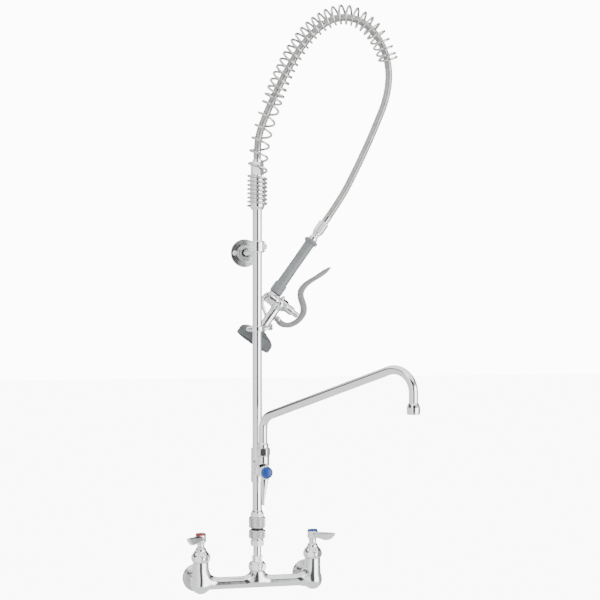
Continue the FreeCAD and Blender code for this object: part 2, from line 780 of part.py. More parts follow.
def swing_nozzle():
    """Swivel nut, O-rings, the bent nozzle tube with its swivel end, and the outlet."""
    stand = Frame((0, -dim.riser_stand - dim.nozzle_forward, 0), 0)
    nut_height = dim.swivel_top - dim.swivel_low
    nut = faceted_nut("swivel_nut", 6, dim.swivel_across, nut_height, (0, 0, dim.swivel_low), stand, spin=20)
    nut_bore = cylinder("swivel_nut_bore", 8.5 + dim.running_gap, 20, (0, 0, dim.swivel_low - 2), frame=stand)
    keep(cut("nozzle_swivel_nut", nut, [nut_bore]))

    groove_levels = (dim.boss_low + 6, dim.boss_low + 10)
    rings = []
    for i, level in enumerate(groove_levels):
        outline = [(7.0, 0), (8.5, 0), (8.5, 1.9), (7.0, 1.9)]
        rings.append(turned(f"nozzle_o_ring_{i}", outline, (0, 0, level), frame=stand))
    keep(group("nozzle_o_rings", rings))

    end_low = dim.boss_low + 3.5
    bore = dim.nozzle_bore
    swivel = turned(
        "nozzle_swivel_end",
        [
            (bore, end_low),
            (8.4, end_low),
            (8.4, groove_levels[0]),
            (7.0, groove_levels[0]),
            (7.0, groove_levels[0] + 1.9),
            (8.4, groove_levels[0] + 1.9),
            (8.4, groove_levels[1]),
            (7.0, groove_levels[1]),
            (7.0, groove_levels[1] + 1.9),
            (8.4, groove_levels[1] + 1.9),
            (8.5, dim.swivel_top + 0.3),
            (9.8, dim.swivel_top + 0.3),
            (9.8, dim.nozzle_collar_top - 2),
            (dim.nozzle_radius, dim.nozzle_collar_top),
            (bore, dim.nozzle_collar_top),
        ],
        (0, 0, 0),
        frame=stand,
    )
    heading = math.radians(dim.nozzle_heading.value)
    out = FreeCAD.Vector(math.cos(heading), math.sin(heading), 0)
    foot = stand.vector(0, 0, 0)
    reach = dim.nozzle_reach.value
    low_end = dim.outlet_low.value + dim.outlet_length.value - 3
    corners = [
        foot + UP * dim.nozzle_collar_top.value,
        foot + UP * dim.nozzle_rise.value,
        foot + out * reach + UP * dim.nozzle_peak.value,
        foot + out * reach + UP * low_end,
    ]
    path = nozzle_path(corners, (dim.nozzle_low_bend.value, dim.nozzle_high_bend.value))
    tube = tube_along(path, dim.nozzle_radius.value).cut(tube_along(path, bore.value))
    keep(fuse("swing_nozzle", [swivel, shaped("nozzle_tube", tube)]))

    tip = foot + out * reach
    outlet = turned(
        "nozzle_outlet",
        [
            (bore + 0.2, 0),
            (dim.outlet_radius - 1, 0),
            (dim.outlet_radius, 1),
            (dim.outlet_radius, dim.outlet_length - 6),
            (dim.nozzle_radius + 1, dim.outlet_length),
            (dim.nozzle_radius, dim.outlet_length),
            (dim.nozzle_radius, dim.outlet_length - 3),
            (bore + 0.2, dim.outlet_length - 3),
        ],
        (tip.x, tip.y, dim.outlet_low),
    )
    keep(outlet)


def nozzle_path(corners, radii):
    """A wire through the corners, each rounded to its own bend radius."""
    edges = []
    start = corners[0]
    for before, corner, after, radius in zip(corners, corners[1:], corners[2:], radii):
        into = (corner - before).normalize()
        out = (after - corner).normalize()
        half_turn = into.getAngle(out) / 2
        trim = radius * math.tan(half_turn)
        inward = (out - into).normalize()
        middle = corner + inward * radius * (1 / math.cos(half_turn) - 1)
        edges.append(Part.LineSegment(start, corner - into * trim).toShape())
        edges.append(Part.Arc(corner - into * trim, middle, corner + out * trim).toShape())
        start = corner + out * trim
    edges.append(Part.LineSegment(start, corners[-1]).toShape())
    return Part.Wire(edges)


# ---------------------------------------------------------------- hose and overhead spring
HOSE_ROUTE = [
    (0, -58, 754),
    (0, -58, 790),
    (14, -57, 830),
    (33, -55, 872),
    (55, -52, 915),
    (79, -49, 956),
    (107, -46, 991),
    (137, -43, 1013.5),
    (165, -40.5, 1021.5),
    (193, -38, 1018),
    (218, -35.5, 1003),
    (238, -32.5, 979),
    (250.5, -30, 949),
    (255, -27.5, 914),
    (249, -24, 873),
    (232.5, -20.5, 831),
    (214, -17, 787),
    (191.5, -14, 739.5),
    (167.02, -12, 691.59),
    (134.5, -12, 646),
]

SPRING_ROUTE = [
    (0, -58, 669),
    (0, -58, 700),
    (1, -58, 740),
    (8.2, -57.3, 795),
    (25, -55.6, 850),
    (44, -53.4, 900),
    (65.6, -51, 943.2),
    (91.2, -48, 980.8),
    (122.9, -44.5, 1009.4),
    (159.5, -41, 1025),
    (196.5, -37.5, 1018.5),
    (228.5, -33.8, 991.5),
    (253, -30, 946),
]


def hose():
    """The flexible hose from the riser's hose nut to the nut at the top of the handle."""
    route = [FreeCAD.Vector(*point) for point in HOSE_ROUTE]
    route[0] = RISER.vector(0, 0, dim.hose_nut_top)
    route[-1] = HANDSET.vector(0, 0, 0)
    path, radii = rounded_path(route)
    tube = keep(shaped("hose", tube_along(path, dim.hose_radius.value)))
    section = math.pi * dim.hose_radius.value ** 2
    print("hose bend radii:", [round(r) for r in radii])
    print(f"hose length {path.Length:.1f} mm, volume over section times length "
          f"{tube.Shape.Volume / (section * path.Length):.4f}")


def overhead_spring():
    """The balancing spring: close turns on its ferrule, open turns, then even turns over the arch.
    Each turn is a ring of the spring's wire, set square to the spring's centre line."""
    line = Part.BSplineCurve()
    line.interpolate([FreeCAD.Vector(*point) for point in SPRING_ROUTE])
    length = line.length()
    close_turns, close_pitch = 8, 7.4
    open_turns, open_pitch = 6, 22.5
    end_turns, end_pitch = 2, 7.0
    places = [2.2 + i * close_pitch for i in range(close_turns)]
    places += [places[-1] + (i + 1) * open_pitch for i in range(open_turns)]
    last_open = places[-1]
    end_start = length - 2.2 - (end_turns - 1) * end_pitch
    even_turns = 25
    even_pitch = (end_start - last_open) / (even_turns + 1)
    places += [last_open + (i + 1) * even_pitch for i in range(even_turns)]
    places += [end_start + i * end_pitch for i in range(end_turns)]
    turns = []
    for along in places:
        share = line.parameterAtDistance(along, line.FirstParameter)
        heading = FreeCAD.Vector(*line.tangent(share)[0])
        turns.append(Part.makeTorus(dim.coil_radius.value, dim.wire_radius.value, line.value(share), heading))
    keep(shaped("overhead_spring", Part.makeCompound(turns)))

    inside = dim.coil_radius - dim.wire_radius - dim.coil_clearance
    ferrule = turned(
        "spring_ferrule",
        [
            (dim.riser_radius, dim.ferrule_low - 3),
            (10.8, dim.ferrule_low - 3),
            (10.8, dim.ferrule_low + 2),
            (inside, dim.ferrule_low + 4),
            (inside, dim.ferrule_top),
            (dim.riser_radius, dim.ferrule_top),
        ],
        (0, 0, 0),
        frame=RISER,
    )
    keep(ferrule)


def hose_nut():
    """The hexagon nut that holds the hose on the riser's top."""
    height = dim.hose_nut_top - dim.hose_nut_low
    blank = prism("hose_nut_blank", 6, 21.5, height, (0, 0, dim.hose_nut_low), frame=RISER, spin=10)
    socket_depth = dim.riser_top - dim.hose_nut_low + 2
    tools = [
        cylinder("hose_nut_socket", dim.riser_radius, socket_depth, (0, 0, dim.hose_nut_low), frame=RISER),
        cylinder("hose_nut_way", 4.5, height + 2, (0, 0, dim.hose_nut_low - 1), frame=RISER),
    ]
    keep(cut("hose_riser_nut", blank, tools))


# ---------------------------------------------------------------- wall bracket and finger hook
def clamp_half(word, side, screw_x):
    """One half of the clamp: a saddle round the riser and a plate for the two screws."""
    low = dim.clamp_level - dim.clamp_height / 2
    plate_height = dim.clamp_height * 0.8
    gap = 0.3
    plate = box(f"clamp_{word}_plate", dim.clamp_width, 7, plate_height, (0, side * 3.8, low + 2), RISER)
    saddle = cylinder(f"clamp_{word}_saddle", 13.6, dim.clamp_height, (0, 0, low), frame=RISER)
    half = box(f"clamp_{word}_side", 60, 30, 60, (0, side * (15 + gap), low - 20), RISER)
    form = common(f"clamp_{word}_form", [fuse(f"clamp_{word}_mass", [plate, saddle]), half])
    hole_radius = dim.riser_radius + dim.running_gap
    tools = [cylinder(f"clamp_{word}_hole", hole_radius, dim.clamp_height + 4, (0, 0, low - 2), frame=RISER)]
    for i, way in enumerate((-1, 1)):
        x = way * screw_x
        at = (x, -20, dim.clamp_level)
        tools.append(cylinder(f"clamp_{word}_screw_hole_{i}", 2.5, 40, at, BACK, RISER))
        if word == "front":
            tools.append(cylinder(f"clamp_screw_seat_{i}", 4.8, 8, (x, -7.4, dim.clamp_level), FRONT, RISER))
    if word == "back":
        tools.append(cylinder("rod_socket", dim.rod_radius, 10, (0, 10.8, dim.rod_level), BACK, RISER))
    return keep(cut(f"bracket_clamp_{word}", form, tools))


def clamp_screws(screw_x):
    """The two screws that pull the clamp halves together."""
    screws = []
    for i, way in enumerate((-1, 1)):
        x = way * screw_x
        shank = cylinder(f"clamp_screw_shank_{i}", 2.5, 16, (x, -7.4, dim.clamp_level), BACK, RISER)
        cap = cylinder(f"clamp_screw_head_{i}", 4.4, 3.4, (x, -10.8, dim.clamp_level), BACK, RISER)
        screws.append(fuse(f"clamp_screw_{i}", [shank, cap]))
    keep(group("bracket_clamp_screws", screws))


def wall_flange(wall):
    """The round flange at the end of the rod, and the three screws that hold it to the wall."""
    disc = turned(
        "bracket_flange_disc",
        [
            (0, 0),
            (dim.bracket_flange_radius, 0),
            (dim.bracket_flange_radius, 2),
            (18, 4.5),
            (11.5, 6),
            (11.5, 14),
            (9, 17),
            (0, 17),
        ],
        (0, wall, dim.rod_level),
        FRONT,
        RISER,
    )
    tools = [cylinder("flange_rod_hole", dim.rod_radius, 30, (0, wall - 2, dim.rod_level), FRONT, RISER)]
    screws = []
    for i in range(3):
        angle = math.radians(180 + i * 120)
        x = dim.bracket_screw_circle * math.cos(angle)
        z = dim.rod_level + dim.bracket_screw_circle * math.sin(angle)
        tools.append(cylinder(f"flange_screw_hole_{i}", 2.6, 12, (x, wall + 1, z), FRONT, RISER))
        tools.append(cylinder(f"flange_screw_seat_{i}", 5.1, 6, (x, wall - 4.7, z), FRONT, RISER))
        dome = sphere(f"flange_screw_dome_{i}", 5, (x, wall - 3.2, z), RISER)
        slab = box(f"flange_screw_slab_{i}", 12, 3, 12, (x, wall - 6.2, z - 6), RISER)
        cap = common(f"flange_screw_cap_{i}", [dome, slab])
        shank = cylinder(f"flange_screw_shank_{i}", 2.6, 5, (x, wall, z), FRONT, RISER)
        screws.append(fuse(f"flange_screw_{i}", [cap, shank]))
    keep(cut("bracket_flange", disc, tools))
    keep(group("bracket_wall_screws", screws))


def wall_bracket():
    """Clamp halves on the riser, their screws, the rod to the wall, its flange and screws."""
    screw_x = dim.clamp_width / 2 - 4.6
    clamp_half("front", -1, screw_x)
    clamp_half("back", 1, screw_x)
    clamp_screws(screw_x)
    wall = dim.bracket_reach
    keep(cylinder("bracket_rod", dim.rod_radius, wall - 2 - 10.8, (0, 10.8, dim.rod_level), BACK, RISER))
    wall_flange(wall)


def finger_hook():
    """The clip on the riser whose finger holds the spray valve beside it, and its set screw."""
    low = dim.hook_level - dim.hook_height / 2
    collar = cylinder("hook_collar", dim.hook_radius, dim.hook_height, (0, 0, low), frame=RISER)
    lug = cylinder("hook_lug", 4.6, 8, (-10, -4, dim.hook_level), LEFT, RISER)
    level = dim.hook_level.value
    route = [
        RISER.vector(9, 4, level),
        RISER.vector(22, 8, level),
        RISER.vector(30.5, 24, level),
        RISER.vector(32, 44, level),
        RISER.vector(36, 56, level + 5),
    ]
    path, _ = rounded_path(route)
    finger = tube_along(path, dim.prong_radius.value)
    tip = Part.makeSphere(dim.prong_radius.value * 1.25, route[-1])
    prong = shaped("hook_prong", finger.fuse(tip))
    hole = cylinder("hook_hole", dim.riser_radius, dim.hook_height + 2, (0, 0, low - 1), frame=RISER)
    screw_hole = cylinder("hook_screw_hole", 2.2, 14, (-8, -4, dim.hook_level), LEFT, RISER)
    keep(cut("finger_hook", fuse("hook_mass", [collar, lug, prong]), [hole, screw_hole]))
    shank = cylinder("hook_screw_shank", 2.2, 9.5, (-8.5, -4, dim.hook_level), LEFT, RISER)
    head = cylinder("hook_screw_head", 3.6, 3, (-18, -4, dim.hook_level), LEFT, RISER)
    keep(fuse("hook_set_screw", [shank, head]))


# ---------------------------------------------------------------- spray valve
# Built in the handle's own frame: Z runs up the handle to the hose, X points to the lever's side.
def handle():
    """Hose nut, collar, water tube and the insulating grip."""
    nut = prism("hose_end_nut_blank", 6, 17.5, 23, (0, 0, -23), frame=HANDSET, spin=30)
    way = cylinder("hose_end_nut_way", 4.5, 30, (0, 0, -26), frame=HANDSET)
    keep(cut("hose_end_nut", nut, [way]))
    collar = turned(
        "handle_collar",
        [
            (4.5, -23),
            (8.2, -23),
            (8.2, -26),
            (6.6, -28),
            (6.6, -32),
            (8.4, -34),
            (8.4, -dim.grip_start),
            (4.5, -dim.grip_start),
        ],
        (0, 0, 0),
        frame=HANDSET,
    )
    keep(collar)
    end = -dim.grip_end
    tube = cylinder("handle_tube_wall", 7, dim.grip_end - dim.grip_start, (0, 0, end), frame=HANDSET)
    hole = cylinder("handle_tube_hole", 4.5, dim.grip_end, (0, 0, end - 1), frame=HANDSET)
    keep(cut("handle_tube", tube, [hole]))
    start = -dim.grip_start
    grip = turned(
        "handle_grip",
        [
            (7, start),
            (12, start),
            (13.2, start - 2),
            (13.2, start - 5),
            (12, start - 7),
            (dim.grip_radius, start - 8),
            (dim.grip_radius, end + 22),
            (12.2, end + 20),
            (12.2, end),
            (7, end),
        ],
        (0, 0, 0),
        frame=HANDSET,
    )
    keep(grip)


def spray_body():
    """The valve casting: neck, valve chamber, outlet tube, hanging loop and lever lug."""
    end = -dim.grip_end
    level = -dim.plunger_down
    offset = dim.outlet_offset
    pivot_level = -dim.pivot_down
    lug_reach = dim.pivot_out - offset
    lug_width = 7.0
    masses = [
        cylinder("spray_neck", 8.6, 20, (0, 0, end - 20), frame=HANDSET),
        cylinder("spray_chamber", 13, 30, (-6, 0, level), RIGHT, HANDSET),
        cylinder("spray_chamber_rim", 15, 4.5, (15, 0, level), RIGHT, HANDSET),
        cylinder("spray_outlet_tube", 8.6, 66, (offset, 0, level - 66), frame=HANDSET),
        box("spray_lug", lug_reach, lug_width, 11, (offset + lug_reach / 2, 0, pivot_level - 5.5), HANDSET),
        cylinder("spray_lug_round", 5.5, lug_width, (dim.pivot_out, -lug_width / 2, pivot_level), BACK, HANDSET),
        shaped("spray_loop", hanging_loop()),
    ]
    tools = [
        cylinder("spray_inlet_way", 4.5, 16, (0, 0, end - 14), frame=HANDSET),
        cylinder("spray_chamber_bore", 9, 22, (3, 0, level), RIGHT, HANDSET),
        cylinder("spray_outlet_way", 5, 62, (offset, 0, level - 67), frame=HANDSET),
        cylinder("spray_grip_room", 12.3, 14, (0, 0, end), frame=HANDSET),
        cylinder("spray_bonnet_room", 12, 10, (24, 0, level), RIGHT, HANDSET),
        cylinder("spray_pin_hole", dim.pin_radius, 30, (dim.pivot_out, -15, pivot_level), BACK, HANDSET),
    ]
    keep(cut("spray_valve_body", fuse("spray_mass", masses), tools))
    pin = cylinder("lever_pin_shank", dim.pin_radius, 15.5, (dim.pivot_out, -7.5, pivot_level), BACK, HANDSET)
    head = cylinder("lever_pin_head", 3.4, 1.8, (dim.pivot_out, -9.0, pivot_level), BACK, HANDSET)
    keep(fuse("lever_pin", [pin, head]))


def hanging_loop():
    """The curved loop cast on the back of the spray valve."""
    corners = ((-5, -166), (-12, -172), (-11, -184), (-1, -196), (12, -203))
    path, _ = rounded_path([HANDSET.vector(x, 0, z) for x, z in corners])
    return tube_along(path, 3.2)


def spray_valve_core():
    """Bonnet, plunger, seat washer and return spring of the squeeze valve."""
    level = -dim.plunger_down
    bore = 2.5 + dim.running_gap
    nut = prism("valve_bonnet_hex", 6, 20, 7, (24, 0, level), RIGHT, HANDSET, spin=30)
    barrel = cylinder("valve_bonnet_barrel", 8.5, 16, (31, 0, level), RIGHT, HANDSET)
    tools = [
        cylinder("valve_bonnet_bore", bore, 20, (20, 0, level), RIGHT, HANDSET),
        cylinder("valve_bonnet_pocket", 5.5, 20, (32, 0, level), RIGHT, HANDSET),
    ]
    keep(cut("valve_bonnet", fuse("valve_bonnet_mass", [nut, barrel]), tools))
    plunger = turned(
        "valve_plunger",
        [
            (0, 6),
            (2.5, 6),
            (2.5, 44),
            (5.4, 44),
            (5.4, dim.plunger_tip - 1),
            (4.4, dim.plunger_tip),
            (0, dim.plunger_tip),
        ],
        (0, 0, level),
        RIGHT,
        HANDSET,
    )
    keep(plunger)
    disc = cylinder("valve_seat_blank", 6.5, 2.5, (11, 0, level), RIGHT, HANDSET)
    hole = cylinder("valve_seat_hole", 2.5, 5, (10, 0, level), RIGHT, HANDSET)
    keep(cut("valve_seat_washer", disc, [hole]))
    coil = cylinder("valve_spring_coil", 5, 11.8, (32.1, 0, level), RIGHT, HANDSET)
    hole = cylinder("valve_spring_hole", 3, 14, (31, 0, level), RIGHT, HANDSET)
    keep(cut("valve_return_spring", coil, [hole]))


LEVER_OUTER = [
    (30.5, -200.8),
    (40, -203.6),
    (52, -200.5),
    (63, -190),
    (69.8, -172),
    (68.5, -155),
    (57, -140.5),
    (43.5, -129),
    (42.3, -115),
    (52, -88),
    (58, -70),
    (58.5, -61),
]
LEVER_INNER = [
    (54, -62),
    (49, -72),
    (43, -88),
    (33.8, -110),
    (32.5, -130),
    (42.5, -144),
    (55.5, -154.5),
    (60.4, -166),
    (59.6, -175),
    (55.5, -184),
    (48, -191.3),
    (40, -192.8),
    (33, -191.2),
]


def spray_lever():
    """The squeeze lever: an S-curved bar round the plunger, forked over the valve's lug."""

    def smooth(points):
        curve = Part.BSplineCurve()
        curve.interpolate([HANDSET.vector(x, 0, z) for x, z in points])
        return curve.toShape()

    outer = smooth(LEVER_OUTER)
    inner = smooth(LEVER_INNER)
    joined = (LEVER_INNER[-1], LEVER_OUTER[0], LEVER_OUTER[-1], LEVER_INNER[0])
    inner_heel, outer_heel, outer_tip, inner_tip = [HANDSET.vector(x, 0, z) for x, z in joined]
    heel = Part.Arc(inner_heel, HANDSET.vector(27.5, 0, -195.8), outer_heel).toShape()
    tip = Part.Arc(outer_tip, HANDSET.vector(57, 0, -58.6), inner_tip).toShape()
    face = Part.Face(Part.Wire(Part.__sortEdges__([outer, tip, inner, heel])))
    half_width = 7.0
    bar = face.copy()
    bar.translate(FreeCAD.Vector(0, -half_width, 0))
    bar = bar.extrude(FreeCAD.Vector(0, 2 * half_width, 0))
    blank = shaped("spray_lever_bar", bar)
    pivot = (dim.pivot_out, -15, -dim.pivot_down)
    hole = cylinder("spray_lever_hole", dim.pin_radius + dim.running_gap, 30, pivot, BACK, HANDSET)
    fork = box("spray_lever_fork", 20, 7.8, 30, (dim.pivot_out - 2, 0, -dim.pivot_down - 15), HANDSET)
    keep(cut("spray_lever", blank, [hole, fork]))


def spray_head():
    """The rubber bumper, the metal shell, the perforated spray face and its screw."""
    offset = dim.outlet_offset
    back = -dim.bumper_back
    face = -dim.bumper_face
    tube = 8.6
    keep(
        turned(
            "spray_bumper",
            [
                (29.5, face),
                (dim.bumper_radius - 1, face),
                (dim.bumper_radius, face + 1.5),
                (dim.bumper_radius, back - 1),
                (dim.bumper_radius - 2.5, back + 2),
                (26, back + 7),
                (16, back + 11),
                (11.2, back + 12.5),
                (11.2, back + 7),
                (29.5, back),
            ],
            (offset, 0, 0),
            frame=HANDSET,
        )
    )
    keep(
        turned(
            "spray_shell",
            [
                (5, back + 7),
                (tube + 2.5, back + 7),
                (29.4, back),
                (29.4, face + 6),
                (27.5, face + 6),
                (27.5, back - 2),
                (tube, back + 4),
                (5, back + 4),
            ],
            (offset, 0, 0),
            frame=HANDSET,
        )
    )
    plate = cylinder("spray_face_blank", 27.4, 2, (offset, 0, face + 6.5), frame=HANDSET)
    holes = []
    for i in range(12):
        angle = math.radians(30 * i)
        at = (offset + 19 * math.cos(angle), 19 * math.sin(angle), face + 4)
        holes.append(cylinder(f"spray_hole_{i}", 1.5, 6, at, frame=HANDSET))
    holes.append(cylinder("spray_face_screw_hole", 2.4, 6, (offset, 0, face + 4), frame=HANDSET))
    keep(cut("spray_face", plate, holes))
    head = cylinder("spray_face_screw_head", 4.6, 2.2, (offset, 0, face + 4.3), frame=HANDSET)
    shank = cylinder("spray_face_screw_shank", 2.4, 10, (offset, 0, face + 6.5), frame=HANDSET)
    keep(fuse("spray_face_screw", [head, shank]))


# ---------------------------------------------------------------- build, check and write
def build():
    base_casting()
    inlet_pieces()
    valve_internals()
    fixed_discs()
    washers()
    control_lever("hot", -1)
    control_lever("cold", 1)
    swivel_union()
    riser_pipes()
    addon_faucet()
    swing_nozzle()
    hose_nut()
    hose()
    overhead_spring()
    wall_bracket()
    finger_hook()
    handle()
    spray_body()
    spray_valve_core()
    spray_lever()
    spray_head()
    doc.recompute()


def check():
    """Stop if any object failed or any sub-part has no sound shape."""
    for item in doc.Objects:
        if "Invalid" in item.State or "Error" in item.State:
            raise RuntimeError(f"{item.Label} failed: {item.State}")
    for item in nodes:
        if item.Shape.isNull() or not item.Shape.isValid() or not item.Shape.Solids:
            raise RuntimeError(f"{item.Label} has no sound shape")
    labels = [item.Label for item in nodes]
    if len(set(labels)) != len(labels) or len(labels) > 60:
        raise RuntimeError(f"{len(labels)} sub-parts, {len(set(labels))} names")


def write():
    os.makedirs("parts", exist_ok=True)
    for item in nodes:
        item.Shape.exportStep(f"parts/{item.Label}.step")
    print(len(nodes), "sub-parts:", ", ".join(sorted(item.Label for item in nodes)))


build()
check()
write()
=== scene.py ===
import json
import math

import bmesh
import bpy
import numpy as np
from mathutils import Matrix, Vector


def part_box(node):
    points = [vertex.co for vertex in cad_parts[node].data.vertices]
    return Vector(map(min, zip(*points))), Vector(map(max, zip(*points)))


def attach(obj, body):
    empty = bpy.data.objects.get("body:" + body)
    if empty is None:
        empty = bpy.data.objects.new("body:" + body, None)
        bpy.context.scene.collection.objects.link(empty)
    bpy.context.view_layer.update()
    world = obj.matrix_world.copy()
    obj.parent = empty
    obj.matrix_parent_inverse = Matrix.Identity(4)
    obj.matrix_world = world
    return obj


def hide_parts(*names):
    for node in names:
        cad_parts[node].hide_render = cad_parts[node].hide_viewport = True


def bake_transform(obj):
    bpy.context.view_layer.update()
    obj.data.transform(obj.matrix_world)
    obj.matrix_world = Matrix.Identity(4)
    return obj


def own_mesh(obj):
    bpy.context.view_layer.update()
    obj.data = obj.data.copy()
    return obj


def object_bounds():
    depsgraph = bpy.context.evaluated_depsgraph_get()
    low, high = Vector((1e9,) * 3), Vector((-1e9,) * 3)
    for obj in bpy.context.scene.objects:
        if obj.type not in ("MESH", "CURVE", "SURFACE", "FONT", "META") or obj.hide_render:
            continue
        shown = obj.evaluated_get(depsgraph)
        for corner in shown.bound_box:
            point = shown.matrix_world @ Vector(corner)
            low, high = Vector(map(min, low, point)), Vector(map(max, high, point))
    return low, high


# The looks of a pre-rinse faucet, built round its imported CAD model.
# Local shapes are in millimetres; a place matrix puts them in the object's frame, in metres.

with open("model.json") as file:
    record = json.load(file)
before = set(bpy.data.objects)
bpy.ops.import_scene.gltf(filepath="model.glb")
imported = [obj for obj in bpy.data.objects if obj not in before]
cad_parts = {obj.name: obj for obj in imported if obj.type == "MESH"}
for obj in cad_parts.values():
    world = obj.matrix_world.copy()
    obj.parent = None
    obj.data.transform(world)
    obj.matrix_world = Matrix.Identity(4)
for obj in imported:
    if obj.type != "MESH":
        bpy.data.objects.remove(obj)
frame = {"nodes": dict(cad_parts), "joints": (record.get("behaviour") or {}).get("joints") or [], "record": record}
cad_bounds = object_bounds()
joints = {joint["name"]: joint for joint in frame["joints"]}
MM = 0.001


# ---- places
def place(origin, x_axis=(1, 0, 0), z_axis=(0, 0, 1)):
    """A matrix from a local frame in millimetres to the object's frame in metres."""
    x = Vector(x_axis).normalized()
    z = Vector(z_axis).normalized()
    turn = Matrix((x, z.cross(x), z)).transposed().to_4x4()
    return Matrix.Translation(Vector(origin)) @ turn @ Matrix.Scale(MM, 4)


def inside(base, at, axis=(0, 0, 1), spin=0.0):
    """A frame within a frame: it stands at a point and its own Z points along the axis."""
    turn = Vector((0, 0, 1)).rotation_difference(Vector(axis)).to_matrix().to_4x4()
    return base @ Matrix.Translation(Vector(at)) @ turn @ Matrix.Rotation(math.radians(spin), 4, "Z")


def centre(node):
    low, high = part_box(node)
    return (low + high) / 2


def levels(node):
    """The lowest and highest level of an upright node, in millimetres."""
    low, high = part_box(node)
    return low.z / MM, high.z / MM


riser_line = centre("riser")
WORLD = place((0, 0, 0))
RISER = place((riser_line.x, riser_line.y, 0))
swing = joints["handset_swing"]
HANDSET = place(swing["pos_m"], swing["axis"], (-swing["axis"][2], 0, swing["axis"][0]))
column = centre("cold_stem").x / MM


# ---- outlines and solids of revolution
def rounded(outline, radius, closed=True, steps=3):
    """The outline with each corner turned into a small curve."""
    points = [Vector(point) for point in outline]
    curve = []
    for i, corner in enumerate(points):
        if not closed and i in (0, len(points) - 1):
            curve.append(corner)
            continue
        before = points[i - 1] - corner
        after = points[(i + 1) % len(points)] - corner
        trim = min(radius, 0.45 * before.length, 0.45 * after.length)
        start = corner + before.normalized() * trim
        end = corner + after.normalized() * trim
        for step in range(steps + 1):
            share = step / steps
            curve.append((1 - share) ** 2 * start + 2 * share * (1 - share) * corner + share**2 * end)
    return curve


def divided(outline, longest, closed=True):
    """The outline with its long edges cut into equal lengths."""
    points = [Vector(point) for point in outline]
    ends = points[1:] + ([points[0]] if closed else [])
    dense = []
    for start, end in zip(points, ends):
        parts = max(1, math.ceil((end - start).length / longest))
        dense.extend(start.lerp(end, i / parts) for i in range(parts))
    return dense if closed else dense + [points[-1]]


def lathe(outline, segments=72, shape=None, closed=True):
    """An outline of (radius, height) points turned about Z. shape(angle, radius, height) gives the
    radius where the piece isn't round."""
    profile = np.array([tuple(point)[:2] for point in outline])
    angle = np.arange(segments) * (2 * math.pi / segments)
    radius = np.repeat(profile[:, :1], segments, axis=1)
    height = np.repeat(profile[:, 1:], segments, axis=1)
    angles = np.repeat(angle[None, :], len(profile), axis=0)
    if shape:
        radius = shape(angles, radius, height)
    vertices = np.stack([radius * np.cos(angles), radius * np.sin(angles), height], -1).reshape(-1, 3)
    return vertices, ring_faces(len(profile), segments, closed)


def ring_faces(rings, segments, closed):
    """The faces between neighbouring rings of points, and back to the first ring if closed."""
    row = np.arange(rings if closed else rings - 1)[:, None]
    side = np.arange(segments)[None, :]
    here = row * segments
    after = (row + 1) % rings * segments
    beside = (side + 1) % segments
    return np.stack([here + side, here + beside, after + beside, after + side], -1).reshape(-1, 4).tolist()


def turned(outline, edge, segments=72, shape=None, closed=True, steps=3, longest=None):
    """A solid of revolution with rounded corners. Its long edges are divided where a shape needs it."""
    curve = rounded(outline, edge, closed, steps)
    if longest:
        curve = divided(curve, longest, closed)
    return lathe(curve, segments, shape, closed)


def polygon(across, sides=6):
    """Keeps a turned shape within a regular prism."""
    sector = 2 * math.pi / sides

    def shape(angle, radius, height):
        turned = (angle + sector / 2) % sector - sector / 2
        return np.minimum(radius, across / 2 / np.cos(turned))

    return shape


def ribbed(low, high, count, depth, least):
    """Ribs along the outside of a turned shape, between two levels."""

    def shape(angle, radius, height):
        fade = np.clip((height - low) / 0.8, 0, 1) * np.clip((high - height) / 0.8, 0, 1)
        groove = depth * fade * (0.5 - 0.5 * np.cos(angle * count)) ** 1.6
        return np.where(radius > least, radius - groove, radius)

    return shape


def threaded(pitch, depth, least):
    """A screw thread cut into the outside of a turned shape."""

    def shape(angle, radius, height):
        turn = (height / pitch - angle / (2 * math.pi)) % 1.0
        return np.where(radius > least, radius - depth * np.abs(2 * turn - 1), radius)

    return shape


def tube(low, high, outer, inner, edge=0.4, segments=72):
    return turned([(inner, low), (outer, low), (outer, high), (inner, high)], edge, segments)


def nut(low, high, across, corner, bore, chamfer=1.6, segments=96):
    """A hexagon nut whose corners are turned down to a circle and chamfered at both ends."""
    outline = [
        (bore, low), (corner - chamfer, low), (corner, low + chamfer * 0.7),
        (corner, high - chamfer * 0.7), (corner - chamfer, high), (bore, high),
    ]
    return turned(outline, 0.4, segments, polygon(across), longest=1.5)


# ---- lines and swept bars
def through(points, count):
    """A smooth line through the points: a natural cubic over its chord length."""
    points = np.array(points, float)
    gaps = np.linalg.norm(np.diff(points, axis=0), axis=1)
    stations = np.concatenate([[0], np.cumsum(gaps)])
    size = len(points)
    system = np.eye(size)
    pull = np.zeros_like(points)
    for i in range(1, size - 1):
        system[i, i - 1 : i + 2] = gaps[i - 1], 2 * (gaps[i - 1] + gaps[i]), gaps[i]
        pull[i] = 6 * ((points[i + 1] - points[i]) / gaps[i] - (points[i] - points[i - 1]) / gaps[i - 1])
    bend = np.linalg.solve(system, pull)
    at = np.linspace(0, stations[-1], count)
    k = np.clip(np.searchsorted(stations, at, side="right") - 1, 0, size - 2)
    gap = gaps[k][:, None]
    ahead = (stations[k + 1] - at)[:, None]
    behind = (at - stations[k])[:, None]
    line = (bend[k] * ahead**3 + bend[k + 1] * behind**3) / (6 * gap)
    line += (points[k] / gap - bend[k] * gap / 6) * ahead
    return line + (points[k + 1] / gap - bend[k + 1] * gap / 6) * behind


def evenly(points, step):
    """The same line with its points an even step apart."""
    points = np.array(points, float)
    along = np.concatenate([[0], np.cumsum(np.linalg.norm(np.diff(points, axis=0), axis=1))])
    places = np.linspace(0, along[-1], max(2, round(along[-1] / step) + 1))
    return np.stack([np.interp(places, along, points[:, i]) for i in range(3)], -1)


